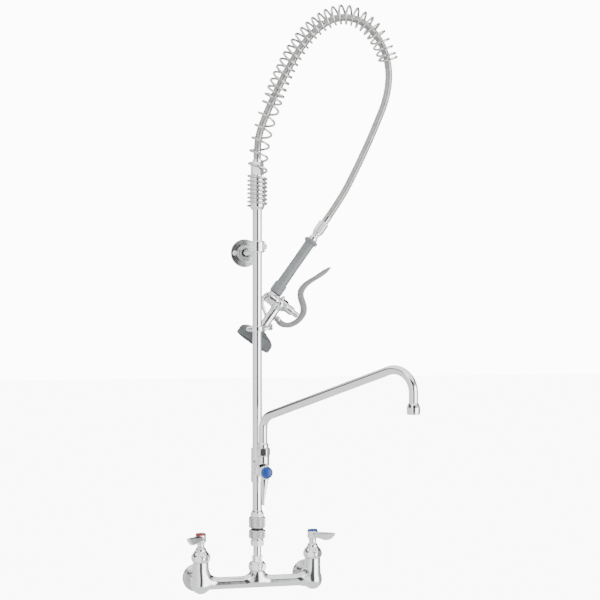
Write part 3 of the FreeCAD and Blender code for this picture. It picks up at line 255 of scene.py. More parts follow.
def bent(corners, radii, step=1.5):
    """Straight runs through the corners, joined by tangent arcs of the given radii."""
    corners = [Vector(corner) for corner in corners]
    line = [corners[0]]
    for before, corner, after, radius in zip(corners, corners[1:], corners[2:], radii):
        into = (corner - before).normalized()
        out = (after - corner).normalized()
        turn = into.angle(out)
        trim = radius * math.tan(turn / 2)
        middle = corner + (out - into).normalized() * (radius / math.cos(turn / 2))
        spoke = corner - into * trim - middle
        axis = into.cross(out).normalized()
        parts = max(4, math.ceil(radius * turn / step))
        line.extend(middle + Matrix.Rotation(turn * i / parts, 3, axis) @ spoke for i in range(parts + 1))
    line.append(corners[-1])
    return line


def carried_frames(points):
    """Heading and two square directions at each point, carried along without twist."""
    points = np.array([tuple(point) for point in points], float)
    heading = np.gradient(points, axis=0)
    heading /= np.linalg.norm(heading, axis=1)[:, None]
    side = np.cross(heading[0], (0.0, 1.0, 0.0))
    if np.linalg.norm(side) < 0.1:
        side = np.cross(heading[0], (1.0, 0.0, 0.0))
    sides = []
    for way in heading:
        side = side - way * (side @ way)
        side = side / np.linalg.norm(side)
        sides.append(side)
    sides = np.array(sides)
    return points, heading, sides, np.cross(heading, sides)


def sweep(points, radius, segments=24):
    """A round bar along the points, with flat ends. radius is one number, or one for each point."""
    points, _, side, other = carried_frames(points)
    angle = np.arange(segments) * (2 * math.pi / segments)
    radius = np.broadcast_to(np.asarray(radius, float), (len(points),))
    spokes = np.cos(angle)[:, None] * side[:, None, :] + np.sin(angle)[:, None] * other[:, None, :]
    return capped(points[:, None, :] + radius[:, None, None] * spokes)


def capped(rings):
    """A closed skin over a row of rings, with a fan at each end."""
    rings = np.asarray(rings)
    count, segments, _ = rings.shape
    faces = ring_faces(count, segments, False)
    vertices = np.concatenate([rings.reshape(-1, 3), rings[:1].mean(1), rings[-1:].mean(1)])
    first = count * segments
    last_row = (count - 1) * segments
    for i in range(segments):
        after = (i + 1) % segments
        faces.append([after, i, first])
        faces.append([last_row + i, last_row + after, first + 1])
    return vertices, faces


# ---- cast shapes from distance fields
def ball(p, at, radius):
    return np.linalg.norm(p - np.array(at, float), axis=-1) - radius


def rod(p, start, end, radius, edge=0.8, end_radius=None):
    """A cylinder or cone with softened edges."""
    start = np.array(start, float)
    axis = np.array(end, float) - start
    length = np.linalg.norm(axis)
    axis /= length
    along = (p - start) @ axis
    out = np.linalg.norm(p - start - along[..., None] * axis, axis=-1)
    if end_radius is not None:
        radius = radius + (end_radius - radius) * np.clip(along / length, 0, 1)
    wall = out - radius + edge
    cap = np.abs(along - length / 2) - length / 2 + edge
    return softened(wall, cap, edge)


def softened(wall, cap, edge):
    """A wall and an end that meet in a rounded edge."""
    return np.minimum(np.maximum(wall, cap), 0) + np.hypot(np.maximum(wall, 0), np.maximum(cap, 0)) - edge


def block(p, at, half, edge=0.8):
    gap = np.abs(p - np.array(at, float)) - np.array(half, float) + edge
    return np.minimum(gap.max(-1), 0) + np.linalg.norm(np.maximum(gap, 0), axis=-1) - edge


def bar(p, points, radius):
    """A round bar with ball ends along straight runs."""
    nearest = np.full(p.shape[:-1], 1e9)
    for start, end in zip(points[:-1], points[1:]):
        start = np.array(tuple(start), float)
        run = np.array(tuple(end), float) - start
        share = np.clip((p - start) @ run / (run @ run), 0, 1)
        nearest = np.minimum(nearest, np.linalg.norm(p - start - share[..., None] * run, axis=-1))
    return nearest - radius


def joined(a, b, fillet):
    """Two shapes as one, with a fillet where they meet."""
    share = np.clip(0.5 + 0.5 * (b - a) / fillet, 0, 1)
    return b + (a - b) * share - fillet * share * (1 - share)


def carved(a, b, fillet=0.6):
    """The first shape without the second, with a softened edge."""
    return -joined(-a, b, fillet)


CORNERS = [(i, j, k) for i in (0, 1) for j in (0, 1) for k in (0, 1)]
EDGES = [(a, b) for a in CORNERS for b in CORNERS if a < b and sum(abs(m - n) for m, n in zip(a, b)) == 1]


def slope_of(field, points, step=0.05):
    slope = np.empty_like(points)
    for i in range(3):
        shift = np.zeros(3)
        shift[i] = step
        slope[:, i] = (field(points + shift) - field(points - shift)) / (2 * step)
    return slope


def cast(field, low, high, cell=0.8):
    """The surface where a field is zero: one vertex in each cell that it crosses, evened out and
    then pulled onto the surface."""
    axes = [np.arange(a - 1.5 * cell, b + 2.5 * cell, cell) for a, b in zip(low, high)]
    grid = np.stack(np.meshgrid(*axes, indexing="ij"), -1)
    value = field(grid)
    solid = value < 0
    size = np.array(value.shape) - 1
    count = sum(solid[i : i + size[0], j : j + size[1], k : k + size[2]].astype(int) for i, j, k in CORNERS)
    cells = np.argwhere((count > 0) & (count < 8))
    number = np.full(size, -1)
    number[tuple(cells.T)] = np.arange(len(cells))
    total = np.zeros((len(cells), 3))
    hits = np.zeros(len(cells))
    for a, b in EDGES:
        first = value[tuple((cells + a).T)]
        second = value[tuple((cells + b).T)]
        crossed = (first < 0) != (second < 0)
        share = np.where(crossed, first / np.where(crossed, first - second, 1), 0)
        total += np.where(crossed[:, None], np.array(a) + share[:, None] * (np.array(b) - np.array(a)), 0)
        hits += crossed
    points = np.array([axis[0] for axis in axes]) + (cells + total / hits[:, None]) * cell
    faces = np.concatenate([crossing_quads(solid, number, axis) for axis in range(3)])
    for _ in range(3):
        points = evened(points, faces)
        slope = slope_of(field, points)
        step = field(points)[:, None] * slope / np.maximum((slope**2).sum(-1), 0.05)[:, None]
        points -= np.clip(step, -cell, cell)
    return points, faces.tolist()


def crossing_quads(solid, number, axis):
    """A face round each grid edge along the axis that goes in or out of the solid."""
    others = [(axis + 1) % 3, (axis + 2) % 3]
    ahead = np.moveaxis(solid, [axis, *others], [0, 1, 2])
    index = np.moveaxis(number, [axis, *others], [0, 1, 2])
    leaving = ahead[:-1, 1:-1, 1:-1] & ~ahead[1:, 1:-1, 1:-1]
    entering = ~ahead[:-1, 1:-1, 1:-1] & ahead[1:, 1:-1, 1:-1]
    loops = np.stack([index[:, :-1, :-1], index[:, 1:, :-1], index[:, 1:, 1:], index[:, :-1, 1:]], -1)
    return np.concatenate([loops[leaving], loops[entering][:, ::-1]])


def evened(points, faces):
    """Each point moved halfway to the middle of its neighbours."""
    total = np.zeros_like(points)
    count = np.zeros(len(points))
    for i in range(4):
        here, there = faces[:, i], faces[:, (i + 1) % 4]
        np.add.at(total, here, points[there])
        np.add.at(total, there, points[here])
        np.add.at(count, here, 1)
        np.add.at(count, there, 1)
    return points + 0.5 * (total / np.maximum(count, 1)[:, None] - points)


# ---- pieces
def shaded_by(mesh, base, field):
    """The mesh is shaded by the slope of the field that it was cast from."""
    points = np.array([tuple(vertex.co) for vertex in mesh.vertices])
    back = np.array(base.inverted())
    slope = slope_of(field, points @ back[:3, :3].T + back[:3, 3]) @ np.array(base.to_3x3()).T
    slope /= np.linalg.norm(slope, axis=1)[:, None]
    mesh.normals_split_custom_set_from_vertices(slope.tolist())


def piece(name, body, material, shells, base=RISER, replaces=(), crisp=True, field=None):
    """A mesh piece made of closed shells in a local frame."""
    vertices = []
    faces = []
    for shell_vertices, shell_faces in shells:
        start = len(vertices)
        vertices.extend(np.asarray(shell_vertices).tolist())
        faces.extend([corner + start for corner in face] for face in shell_faces)
    mesh = bpy.data.meshes.new(name)
    mesh.from_pydata(vertices, [], faces)
    mesh.transform(base)
    work = bmesh.new()
    work.from_mesh(mesh)
    bmesh.ops.remove_doubles(work, verts=work.verts, dist=1e-6)
    bmesh.ops.recalc_face_normals(work, faces=work.faces)
    work.to_mesh(mesh)
    work.free()
    mesh.shade_smooth()
    item = bpy.data.objects.new(name, mesh)
    bpy.context.scene.collection.objects.link(item)
    mesh.materials.append(material)
    if field:
        shaded_by(mesh, base, field)
    elif crisp:
        mesh.set_sharp_from_angle(angle=math.radians(40))
        weighted = item.modifiers.new("flat_faces_first", "WEIGHTED_NORMAL")
        weighted.keep_sharp = True
    if body:
        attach(item, body)
    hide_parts(*replaces)
    return item


def moved(shell, matrix):
    """A shell in another place of the same local frame."""
    vertices, faces = shell
    matrix = np.array(matrix)
    return np.asarray(vertices) @ matrix[:3, :3].T + matrix[:3, 3], faces


def at(point, axis=(0, 0, 1), spin=0.0):
    return inside(Matrix.Identity(4), point, axis, spin)


def add_node(nodes, kind, **values):
    """A new shader node, with values for its inputs by name."""
    made = nodes.new("ShaderNode" + kind)
    for name, value in values.items():
        made.inputs[name.replace("_", " ")].default_value = value
    return made


def material(name, slot, colour, metallic, roughness, spread, tone, grain, bump=0.0, depth=0.0002):
    """A surface whose colour and roughness vary a little, with a fine relief of that depth."""
    made = bpy.data.materials.new(name)
    made.use_nodes = True
    nodes = made.node_tree.nodes
    link = made.node_tree.links.new
    surface = nodes["Principled BSDF"]
    surface.inputs["Metallic"].default_value = metallic
    where = add_node(nodes, "TexCoord")
    noise = add_node(nodes, "TexNoise", Scale=grain, Detail=4.0)
    link(where.outputs["Object"], noise.inputs["Vector"])
    tint = add_node(nodes, "ValToRGB")
    for element, position, share in zip(tint.color_ramp.elements, (0.35, 0.65), (1 - tone, 1 + tone)):
        element.position = position
        element.color = (*[min(1, c * share) for c in colour], 1)
    link(noise.outputs["Fac"], tint.inputs["Fac"])
    link(tint.outputs["Color"], surface.inputs["Base Color"])
    least = max(0.01, roughness - spread)
    rough = add_node(nodes, "MapRange", From_Min=0.3, From_Max=0.7, To_Min=least, To_Max=roughness + spread)
    link(noise.outputs["Fac"], rough.inputs["Value"])
    link(rough.outputs["Result"], surface.inputs["Roughness"])
    if bump:
        fine = add_node(nodes, "TexNoise", Scale=grain * 6, Detail=3.0)
        link(where.outputs["Object"], fine.inputs["Vector"])
        relief = add_node(nodes, "Bump", Strength=bump, Distance=depth)
        link(fine.outputs["Fac"], relief.inputs["Height"])
        link(relief.outputs["Normal"], surface.inputs["Normal"])
    return made


# material, slot, colour, metallic, roughness and its spread, spread of tone, grain, relief and its depth
FINISHES = {
    "chrome": ("plated_chrome", "polished_chrome", (0.80, 0.81, 0.82), 1.0, 0.05, 0.02, 0.02, 40),
    "cast": ("cast_chrome", "polished_chrome", (0.78, 0.79, 0.80), 1.0, 0.13, 0.03, 0.03, 30, 0.10, 0.0005),
    "satin": ("satin_chrome", "polished_chrome", (0.50, 0.505, 0.51), 1.0, 0.22, 0.05, 0.04, 60, 0.10),
    "steel": ("bright_steel", "stainless_steel", (0.56, 0.56, 0.55), 1.0, 0.10, 0.04, 0.08, 90, 0.1),
    "hose": ("hose_steel", "stainless_steel", (0.42, 0.415, 0.40), 1.0, 0.15, 0.05, 0.12, 120, 0.12),
    "brass": ("turned_brass", "brass", (0.78, 0.60, 0.30), 1.0, 0.25, 0.05, 0.06, 80, 0.1),
    "ceramic": ("lapped_ceramic", "ceramic", (0.90, 0.89, 0.86), 0.0, 0.15, 0.04, 0.02, 60, 0.05),
    "seal": ("black_seal", "black_rubber", (0.02, 0.02, 0.022), 0.0, 0.6, 0.08, 0.2, 120, 0.3),
    "grip": ("grey_sleeve", "grey_grip", (0.20, 0.215, 0.22), 0.0, 0.38, 0.05, 0.06, 110, 0.25),
    "lever": ("coated_lever", "grey_lever", (0.22, 0.23, 0.222), 0.0, 0.36, 0.05, 0.05, 90, 0.2),
    "bumper": ("bumper_rubber", "grey_rubber", (0.095, 0.105, 0.11), 0.0, 0.5, 0.07, 0.12, 100, 0.3),
    "red": ("red_button", "red_index", (0.27, 0.014, 0.011), 0.0, 0.28, 0.04, 0.06, 140, 0.05),
    "blue": ("blue_button", "blue_index", (0.008, 0.05, 0.27), 0.0, 0.28, 0.04, 0.06, 140, 0.05),
}
paint = {name: material(*values) for name, values in FINISHES.items()}
CHROME = paint["chrome"]
CAST = paint["cast"]


def finish_cad_nodes():
    """Each CAD node gets the first material of its slot: some stay in view, and some are inside."""
    of_slot = {FINISHES[name][1]: paint[name] for name in reversed(FINISHES)}
    for row in frame["record"]["subparts"]:
        materials = frame["nodes"][row["node"]].data.materials
        materials.clear()
        materials.append(of_slot[row["material_slot"]])


# ---- studio and camera
def studio():
    """A pale surround with darker gaps between its soft lights. The camera sees a plain white."""
    world = bpy.data.worlds.new("studio")
    bpy.context.scene.world = world
    world.use_nodes = True
    nodes = world.node_tree.nodes
    link = world.node_tree.links.new
    where = add_node(nodes, "TexCoord").outputs["Generated"]
    heading = math.radians(CAMERA_HEADING)
    toward_camera = (-math.sin(heading), -math.cos(heading), 0)
    to_its_right = (math.cos(heading), -math.sin(heading), 0)
    angle = add_node(nodes, "Math")
    angle.operation = "ARCTAN2"
    for direction, socket in zip((to_its_right, toward_camera), angle.inputs):
        dot = add_node(nodes, "VectorMath")
        dot.operation = "DOT_PRODUCT"
        dot.inputs[1].default_value = direction
        link(where, dot.inputs[0])
        link(dot.outputs["Value"], socket)
    turn = add_node(nodes, "MapRange", From_Min=-math.pi, From_Max=math.pi)
    link(angle.outputs["Value"], turn.inputs["Value"])
    split = add_node(nodes, "SeparateXYZ")
    link(where, split.inputs["Vector"])
    height = add_node(nodes, "MapRange", From_Min=-1.0)
    link(split.outputs["Z"], height.inputs["Value"])

    def grey(source, levels_there):
        ramp = add_node(nodes, "ValToRGB")
        stops(ramp, levels_there)
        link(source.outputs["Result"], ramp.inputs["Fac"])
        return ramp.outputs["Color"]

    around = grey(turn, [(0.5 + way / 360, level) for way, level in WALLS])
    rises = [[(0.5 + 0.5 * rise, level) for rise, level in ramp] for ramp in (GAP, ENDS_SHARE, ENDS)]
    gap, ends_share, ends = [grey(height, levels_there) for levels_there in rises]
    walls = mixed(nodes, link, "MULTIPLY", around, gap)
    soft = nodes["Background"]
    link(mixed(nodes, link, "MIX", walls, ends, ends_share), soft.inputs["Color"])
    plain = add_node(nodes, "Background", Color=(1, 1, 1, 1), Strength=BACKDROP)
    choice = add_node(nodes, "MixShader")
    link(add_node(nodes, "LightPath").outputs["Is Camera Ray"], choice.inputs["Fac"])
    link(soft.outputs["Background"], choice.inputs[1])
    link(plain.outputs["Background"], choice.inputs[2])
    link(choice.outputs["Shader"], nodes["World Output"].inputs["Surface"])


def mixed(nodes, link, way, first, second, share=None):
    """Two colours mixed."""
    mix = add_node(nodes, "Mix")
    mix.data_type = "RGBA"
    mix.blend_type = way
    mix.inputs[0].default_value = 1.0
    link(first, mix.inputs[6])
    link(second, mix.inputs[7])
    if share:
        link(share, mix.inputs[0])
    return mix.outputs[2]


def stops(ramp, values):
    """Grey levels at positions from 0 to 1."""
    elements = ramp.color_ramp.elements
    while len(elements) < len(values):
        elements.new(0.5)
    for element, (position, value) in zip(elements, values):
        element.position = position
        element.color = (value, value, value, 1)


# grey levels at headings from the camera's side of the room, toward its right
WALLS = [
    (-180, 1.4), (-100, 1.4), (-63, 1.5), (-37, 1.8), (-13, 2.4), (-8, 0.12), (22, 0.12), (38, 6.5),
    (72, 6.5), (88, 1.3), (102, 0.6), (180, 0.5),
]
# heights from -1 straight down to 1 straight up: where the walls darken, and where floor and ceiling begin
GAP = [(0.26, 1.0), (0.38, 0.10), (0.54, 0.08), (0.60, 0.6)]
ENDS_SHARE = [(-0.55, 1.0), (-0.42, 0.0), (0.58, 0.0), (0.66, 1.0)]
ENDS = [(-0.5, 1.5), (0.5, 2.2)]
BACKDROP = 12.0
FLOOR_SEEN_THROUGH = 0.8
LIGHT_SIZE = 1.2
LIGHTS_AIM = Vector((0, -0.05, 0.5))


def area_light(name, where, power):
    light = bpy.data.lights.new(name, "AREA")
    light.shape = "SQUARE"
    light.size = LIGHT_SIZE
    light.energy = power
    item = bpy.data.objects.new(name, light)
    item.location = where
    item.rotation_euler = (LIGHTS_AIM - Vector(where)).to_track_quat("-Z", "Y").to_euler()
    bpy.context.scene.collection.objects.link(item)


def floor():
    """A wide, plain, pale floor below the faucet, as white to the camera as the backdrop."""
    low = cad_bounds[0].z - 0.10
    half = 9.0
    corners = [(-half, -half, low), (half, -half, low), (half, half, low), (-half, half, low)]
    mesh = bpy.data.meshes.new("floor")
    mesh.from_pydata(corners, [], [(0, 1, 2, 3)])
    item = bpy.data.objects.new("floor", mesh)
    pale = material("pale_floor", None, (0.93, 0.93, 0.93), 0.0, 0.7, 0.05, 0.01, 3)
    nodes = pale.node_tree.nodes
    link = pale.node_tree.links.new
    share = add_node(nodes, "Math")
    share.operation = "MULTIPLY"
    share.inputs[1].default_value = FLOOR_SEEN_THROUGH
    link(add_node(nodes, "LightPath").outputs["Is Camera Ray"], share.inputs[0])
    mix = add_node(nodes, "MixShader")
    link(share.outputs["Value"], mix.inputs["Fac"])
    link(nodes["Principled BSDF"].outputs["BSDF"], mix.inputs[1])
    link(add_node(nodes, "BsdfTransparent").outputs["BSDF"], mix.inputs[2])
    link(mix.outputs["Shader"], nodes["Material Output"].inputs["Surface"])
    mesh.materials.append(pale)
    item.visible_glossy = False
    bpy.context.scene.collection.objects.link(item)


CAMERA_HEADING = 12.56
CAMERA_PLACE = (-0.4291, -2.3359, 0.4877)


def camera():
    """Level, at the height of the hook, from the left of square on."""
    lens = bpy.data.cameras.new("camera")
    lens.lens = 77.75
    lens.sensor_width = 36
    lens.shift_y = 0.0143
    lens.clip_end = 60
    item = bpy.data.objects.new("camera", lens)
    item.location = CAMERA_PLACE
    item.rotation_euler = (math.radians(90), 0, math.radians(-CAMERA_HEADING))
    bpy.context.scene.collection.objects.link(item)
    bpy.context.scene.camera = item


camera()
studio()
floor()
area_light("key", (-1.6, -2.2, 1.9), 12)
area_light("fill", (2.2, -1.2, 1.0), 5)
finish_cad_nodes()

# ---- hose and overhead spring
HOSE_ROUTE = [
    (0, -58, 754), (0, -58, 790), (14, -57, 830), (33, -55, 872), (55, -52, 915), (79, -49, 956),
    (107, -46, 991), (137, -43, 1013.5), (165, -40.5, 1021.5), (193, -38, 1018), (218, -35.5, 1003),
    (238, -32.5, 979), (250.5, -30, 949), (255, -27.5, 914), (249, -24, 873), (232.5, -20.5, 831),
    (214, -17, 787), (191.5, -14, 739.5), (167.02, -12, 691.59), (134.5, -12, 646),
]


def spline_points(route):
    """Points read from the smooth spline that the route's points control, in millimetres."""
    curve = bpy.data.curves.new("hose_line", "CURVE")
    curve.dimensions = "3D"
    curve.resolution_u = 24
    spline = curve.splines.new("NURBS")
    spline.points.add(len(route) - 1)
    for point, (x, y, z) in zip(spline.points, route):
        point.co = (x * MM, y * MM, z * MM, 1)
    spline.order_u = 3
    spline.use_endpoint_u = True
    holder = bpy.data.objects.new("hose_line", curve)
    line = bpy.data.meshes.new_from_object(holder)
    points = np.array([tuple(vertex.co) for vertex in line.vertices]) / MM
    bpy.data.objects.remove(holder)
    bpy.data.meshes.remove(line)
    return points


def hose():
    """A corrugated stainless hose with plain cuffs at its ends."""
    pitch, cuff = 3.3, 14.0
    cuff_radius, groove_radius, ridge = 6.9, 5.9, 1.1
    step = pitch / 6
    line = evenly(spline_points(HOSE_ROUTE), step)
    along = np.arange(len(line)) * step
    wave = np.abs(np.sin(math.pi * along / pitch)) ** 0.7
    near_end = np.minimum(along, along[-1] - along) < cuff
    radius = np.where(near_end, cuff_radius, groove_radius + ridge * wave)
    shell = sweep(line, radius, 28)
    item = piece("braided_hose", None, paint["hose"], [shell], WORLD, ["hose"], crisp=False)
    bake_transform(item)


SPRING_ROUTE = [
    (0, -58, 669), (0, -58, 700), (1, -58, 740), (8.2, -57.3, 795), (25, -55.6, 850),
    (44, -53.4, 900), (65.6, -51, 943.2), (91.2, -48, 980.8), (122.9, -44.5, 1009.4),
    (159.5, -41, 1025), (196.5, -37.5, 1018.5), (228.5, -33.8, 991.5), (253, -30, 946),
]


def overhead_spring():
    """One long left-hand helix: close turns on the ferrule, open turns, then even turns that lean over
    the arch, and a close end."""
    coil, wire = 16.2, 2.2
    step = 0.4
    line = evenly(through(SPRING_ROUTE, 1200), step)
    along = np.arange(len(line)) * step
    end = along[-1] - wire
    close, opened, even, last = [7.4] * 7, [22.5] * 6, [1.0] * 26, [7.0]
    spare = end - wire - sum(close) - sum(opened) - sum(last)
    pitches = close + opened + [spare / len(even)] * len(even) + last
    reach = wire + np.concatenate([[0], np.cumsum(pitches)])
    turns = np.linspace(0, len(pitches), len(pitches) * 32)
    where = np.interp(turns, np.arange(len(reach)), reach)
    window = 13
    where = np.convolve(np.pad(where, window // 2, mode="edge"), np.ones(window) / window, mode="valid")
    points, heading, side, other = carried_frames(line)
    nearest = np.clip(np.searchsorted(along, where), 0, len(line) - 1)
    angle = -2 * math.pi * turns
    spokes = np.cos(angle)[:, None] * side[nearest] + np.sin(angle)[:, None] * other[nearest]
    lean = np.interp(turns, [13, 15.5, 30, 35, 37, 41], [0, -0.5, -0.55, -0.1, 0.2, 0.15])
    leaning = (lean * np.sin(angle))[:, None] * heading[nearest]
    helix = np.stack([np.interp(where, along, points[:, i]) for i in range(3)], -1)
    helix += coil * (spokes + leaning)
    from_end = np.minimum(turns, turns[-1] - turns)
    radius = np.maximum(wire * np.sqrt(np.clip(from_end / 0.02, 0, 1)), 0.3)
    shell = sweep(helix, radius, 14)
    piece("balance_spring", "root", paint["steel"], [shell], WORLD, ["overhead_spring"], crisp=False)


def ferrule_and_nut():
    """The sleeve inside the close turns, and the hose's hexagon nut above it."""
    low, high = levels("spring_ferrule")
    riser_radius = 8.6
    outline = [(riser_radius, low), (11.0, low), (13.2, low + 5), (13.2, high), (riser_radius, high)]
    piece("spring_sleeve", "root", CHROME, [turned(outline, 0.8)], RISER, ["spring_ferrule"])
    low, high = levels("hose_riser_nut")
    shells = [nut(low, high - 5, 21.5, 12.2, 8.6, 1.4), tube(high - 5.2, high, 8.6, 4.6, 0.6)]
    piece("hose_top_nut", "root", CHROME, shells, inside(RISER, (0, 0, 0), spin=10), ["hose_riser_nut"])


hose()
overhead_spring()
ferrule_and_nut()


# ---- wall base
def base_casting():
    """The cast waterway: two valve columns, the bridge, the centre boss and the arms to the wall."""
    top = levels("bonnet_nuts")[0]
    boss_top = levels("base_lock_nut")[0]

    def field(p):
        q = p.copy()
        q[..., 0] = np.abs(q[..., 0])
        above = np.interp(q[..., 2], (-9, 6), (0, 1))
        upright = rod(q, (column, 0, -2), (column, 0, top), 14.3, 0.9, 14.0)
        bridge = rod(q, (-20, 0, 0), (column, 0, 0), 10.7, 1)
        boss = rod(q, (0, 0, 0), (0, 0, boss_top), 12.8, 0.9, 12.2)
        made = joined(upright, bridge, 6 + 14 * above)
        made = joined(made, boss, 4 + 12 * above)
        made = joined(made, ball(q, (column, 0, -1), 17.0), 4)
        made = joined(made, rod(q, (column, 0, 0), (column, 26, 0), 12, 0.6), 7)
        return np.maximum(made, q[..., 2] - top)

    shell = cast(field, (-column - 19, -19, -19), (column + 19, 27, top + 1), 1.1)
    piece("base_casting", "root", CAST, [shell], RISER, ["base_body"], field=field)


def both_columns(shell, back=0, axis=(0, 0, 1)):
    """The shell at both valve columns, or behind them."""
    return [moved(shell, at((side * column, back, 0), axis)) for side in (-1, 1)]


def valve_tops():
    """The rounded hexagon bonnet and the domed cap on each column."""
    low, high = levels("bonnet_nuts")
    outline = [
        (10.2, low), (14.0, low), (15.2, low + 1.2), (17.2, low + 5.5), (17.3, low + 9.5),
        (15.2, low + 14.2), (12.0, high - 1.5), (11.3, high), (10.2, high),
    ]
    bonnet = turned(outline, 2.2, 96, polygon(31.5), steps=5, longest=1.0)
    bonnet = moved(bonnet, at((0, 0, 0), spin=9))
    piece("valve_bonnets", "root", CHROME, both_columns(bonnet), RISER, ["bonnet_nuts"])
    low, top = levels("cartridge_sleeves")
    stem = 5.1
    outline = [
        (stem, high - 8), (9.8, high - 8), (9.9, high + 2.2), (9.0, high + 4.6), (6.8, top),
        (stem, top),
    ]
    shells = both_columns(turned(outline, 0.9)) + both_columns(tube(low, high - 8, 9.7, stem, 0.3))
    piece("cartridge_caps", "root", CHROME, shells, RISER, ["cartridge_sleeves"])


def inlets():
    """The round wall flange and the coupling nut at each inlet."""
    stand = -riser_line.y / MM
    rim = (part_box("inlet_flanges")[1].x - column * MM) / MM
    outline = [
        (9.7, 0), (rim, 0), (rim, 1.6), (rim - 1.6, 3.4), (20, 5.6), (16.4, 10), (14.4, 17),
        (12, 19), (12, 24), (9.7, 24),
    ]
    flanges = both_columns(turned(outline, 1.4, 96, steps=4), stand, (0, -1, 0))
    piece("wall_flanges", "root", paint["satin"], flanges, RISER, ["inlet_flanges"])
    nuts = both_columns(nut(0, 17, 31, 17.2, 12.2, 2.2), stand - 20, (0, -1, 0))
    piece("coupling_nuts", "root", CHROME, nuts, RISER, ["inlet_coupling_nuts"])


def blade_gap(p, top):
    """Distance to a lever's arm along +X: it leaves the hub and turns into a deep, rounded paddle whose
    straight top edge rises a little."""
    reach, width, depth = np.array(PADDLE, float).T
    run = p[..., 0]
    wide = np.interp(run, reach, width) / 2
    deep = np.interp(run, reach, depth) / 2
    lift = p[..., 2] - (top + ARM_RISE * run - deep)
    power = 2.6
    across = np.abs(p[..., 1] / wide) ** power + np.abs(lift / deep) ** power
    oval_gap = (across ** (1 / power) - 1) * np.minimum(wide, deep)
    end_gap = np.maximum(-run, run - reach[-1])
    return np.maximum(oval_gap, end_gap)


# a lever arm's width and depth at distances from its hub's middle, and the rise of its top edge
PADDLE = [
    (0, 14, 11), (12, 14, 10.8), (20, 12, 12), (30, 9.4, 14.6), (40, 6.8, 14.2), (48, 5, 11),
    (54, 3.6, 6.4),
]
ARM_RISE = 0.085


def valve_lever(word, body, heading, index):
    """A valve's lever with its hub, and the coloured index button on top."""
    high = levels(f"{word}_lever")[1]
    cap_top = levels("cartridge_sleeves")[1] + 0.2
    hub_low = high - 13
    arm_top = high - 1.6

    def field(p):
        hub = rod(p, (0, 0, hub_low), (0, 0, high), 9.5, 1.0)
        neck = rod(p, (0, 0, cap_top), (0, 0, hub_low + 2), 6.0, 0.5, 7.8)
        made = joined(joined(hub, neck, 2), blade_gap(p, arm_top), 2.5)
        return joined(made, ball(p, (54, 0, arm_top - 3 + 54 * ARM_RISE), 2.6), 1.5)

    shell = cast(field, (-11, -11, cap_top - 1), (59, 11, high + 5), 0.8)
    base = inside(RISER, (centre(f"{word}_stem").x / MM, 0, 0), spin=heading)
    piece(f"{word}_handle", body, CHROME, [shell], base, [f"{word}_lever"], field=field)
    outline = [
        (0, high - 2), (8.6, high - 2), (8.6, high + 0.2), (9.4, high + 0.4), (9.4, high + 1.5),
        (8.6, high + 2.4), (7.6, high + 2.5), (7.2, high + 2.2), (5, high + 2.8), (0, high + 3.2),
    ]
    button = turned(outline, 0.35, 64, closed=False)
    piece(f"{word}_button", body, index, [button], base, [f"{word}_index"])


def base():
    base_casting()
    valve_tops()
    inlets()
    heading = 58
    valve_lever("hot", "hot_control", 180 + heading, paint["red"])
    valve_lever("cold", "cold_control", -heading, paint["blue"])


# ---- union and riser
def union():
    """Lock nut, ribbed collar and neck, the two knurled union nuts and the adapter above them."""
    low, high = levels("base_lock_nut")
    outline = [
        (9.2, low), (12.6, low), (15.3, low + 3.4), (15.9, low + 8.5), (15.3, high - 3.6),
        (12.2, high), (9.2, high),
    ]
    lock = turned(outline, 1.6, 96, polygon(28.5), steps=4, longest=1.0)
    piece("lock_nut", "root", CHROME, [moved(lock, at((0, 0, 0), spin=8))], RISER, ["base_lock_nut"])

    collar_top = 46.4
    hex_low, hex_top = 64.1, 75.2
    lower_top = levels("lower_union_nut")[1]
    outline = [
        (5.6, high - 8), (9.0, high - 8), (9.3, collar_top - 0.6), (8.9, collar_top),
        (7.2, collar_top), (7.2, hex_low), (5.6, hex_low),
    ]
    collar = turned(outline, 0.3, 240, ribbed(high - 0.5, collar_top, 40, 0.45, 8.4), longest=1.2)
    flats = nut(hex_low, hex_top, 22.4, 12.5, 5.6, 1.8)
    shank = tube(hex_top - 0.5, lower_top - 0.5, 9.6, 5.6)
    piece("union_tail", "root", CHROME, [collar, flats, shank], RISER, ["union_tailpiece"])

    for name, node in (("lower_knurled_nut", "lower_union_nut"), ("upper_knurled_nut", "upper_union_nut")):
        bottom, top = levels(node)
        outline = [
            (9.8, bottom), (13.2, bottom), (15.0, bottom + 1.8), (15.0, top - 1.8), (13.2, top),
            (9.8, top),
        ]
        shell = turned(outline, 0.5, 280, ribbed(bottom + 1.6, top - 1.6, 40, 0.8, 13.5), longest=1.2)
        piece(name, "root", paint["satin"], [shell], RISER, [node])

    low, high = levels("riser_adapter")
    union_top = levels("upper_union_nut")[1]
    flats = nut(union_top - 0.4, union_top + 7.2, 22.6, 12.4, 8.6, 1.5)
    outline = [(8.6, union_top + 6), (10.6, union_top + 6), (10.4, high - 2.4), (9.4, high), (8.6, high)]
    shells = [flats, turned(outline, 0.5), tube(low, union_top, 9.6, 5.6)]
    piece("adapter", "root", CHROME, shells, RISER, ["riser_adapter"])


def risers():
    """The two lengths of riser pipe."""
    for name, node in (("riser_pipe", "riser"), ("nipple_pipe", "lower_nipple")):
        low, high = levels(node)
        outline = divided([(6.3, low), (8.575, low), (8.575, high), (6.3, high)], 40)
        piece(name, "root", CHROME, [lathe(outline, 96)], RISER, [node])


base()
union()
risers()


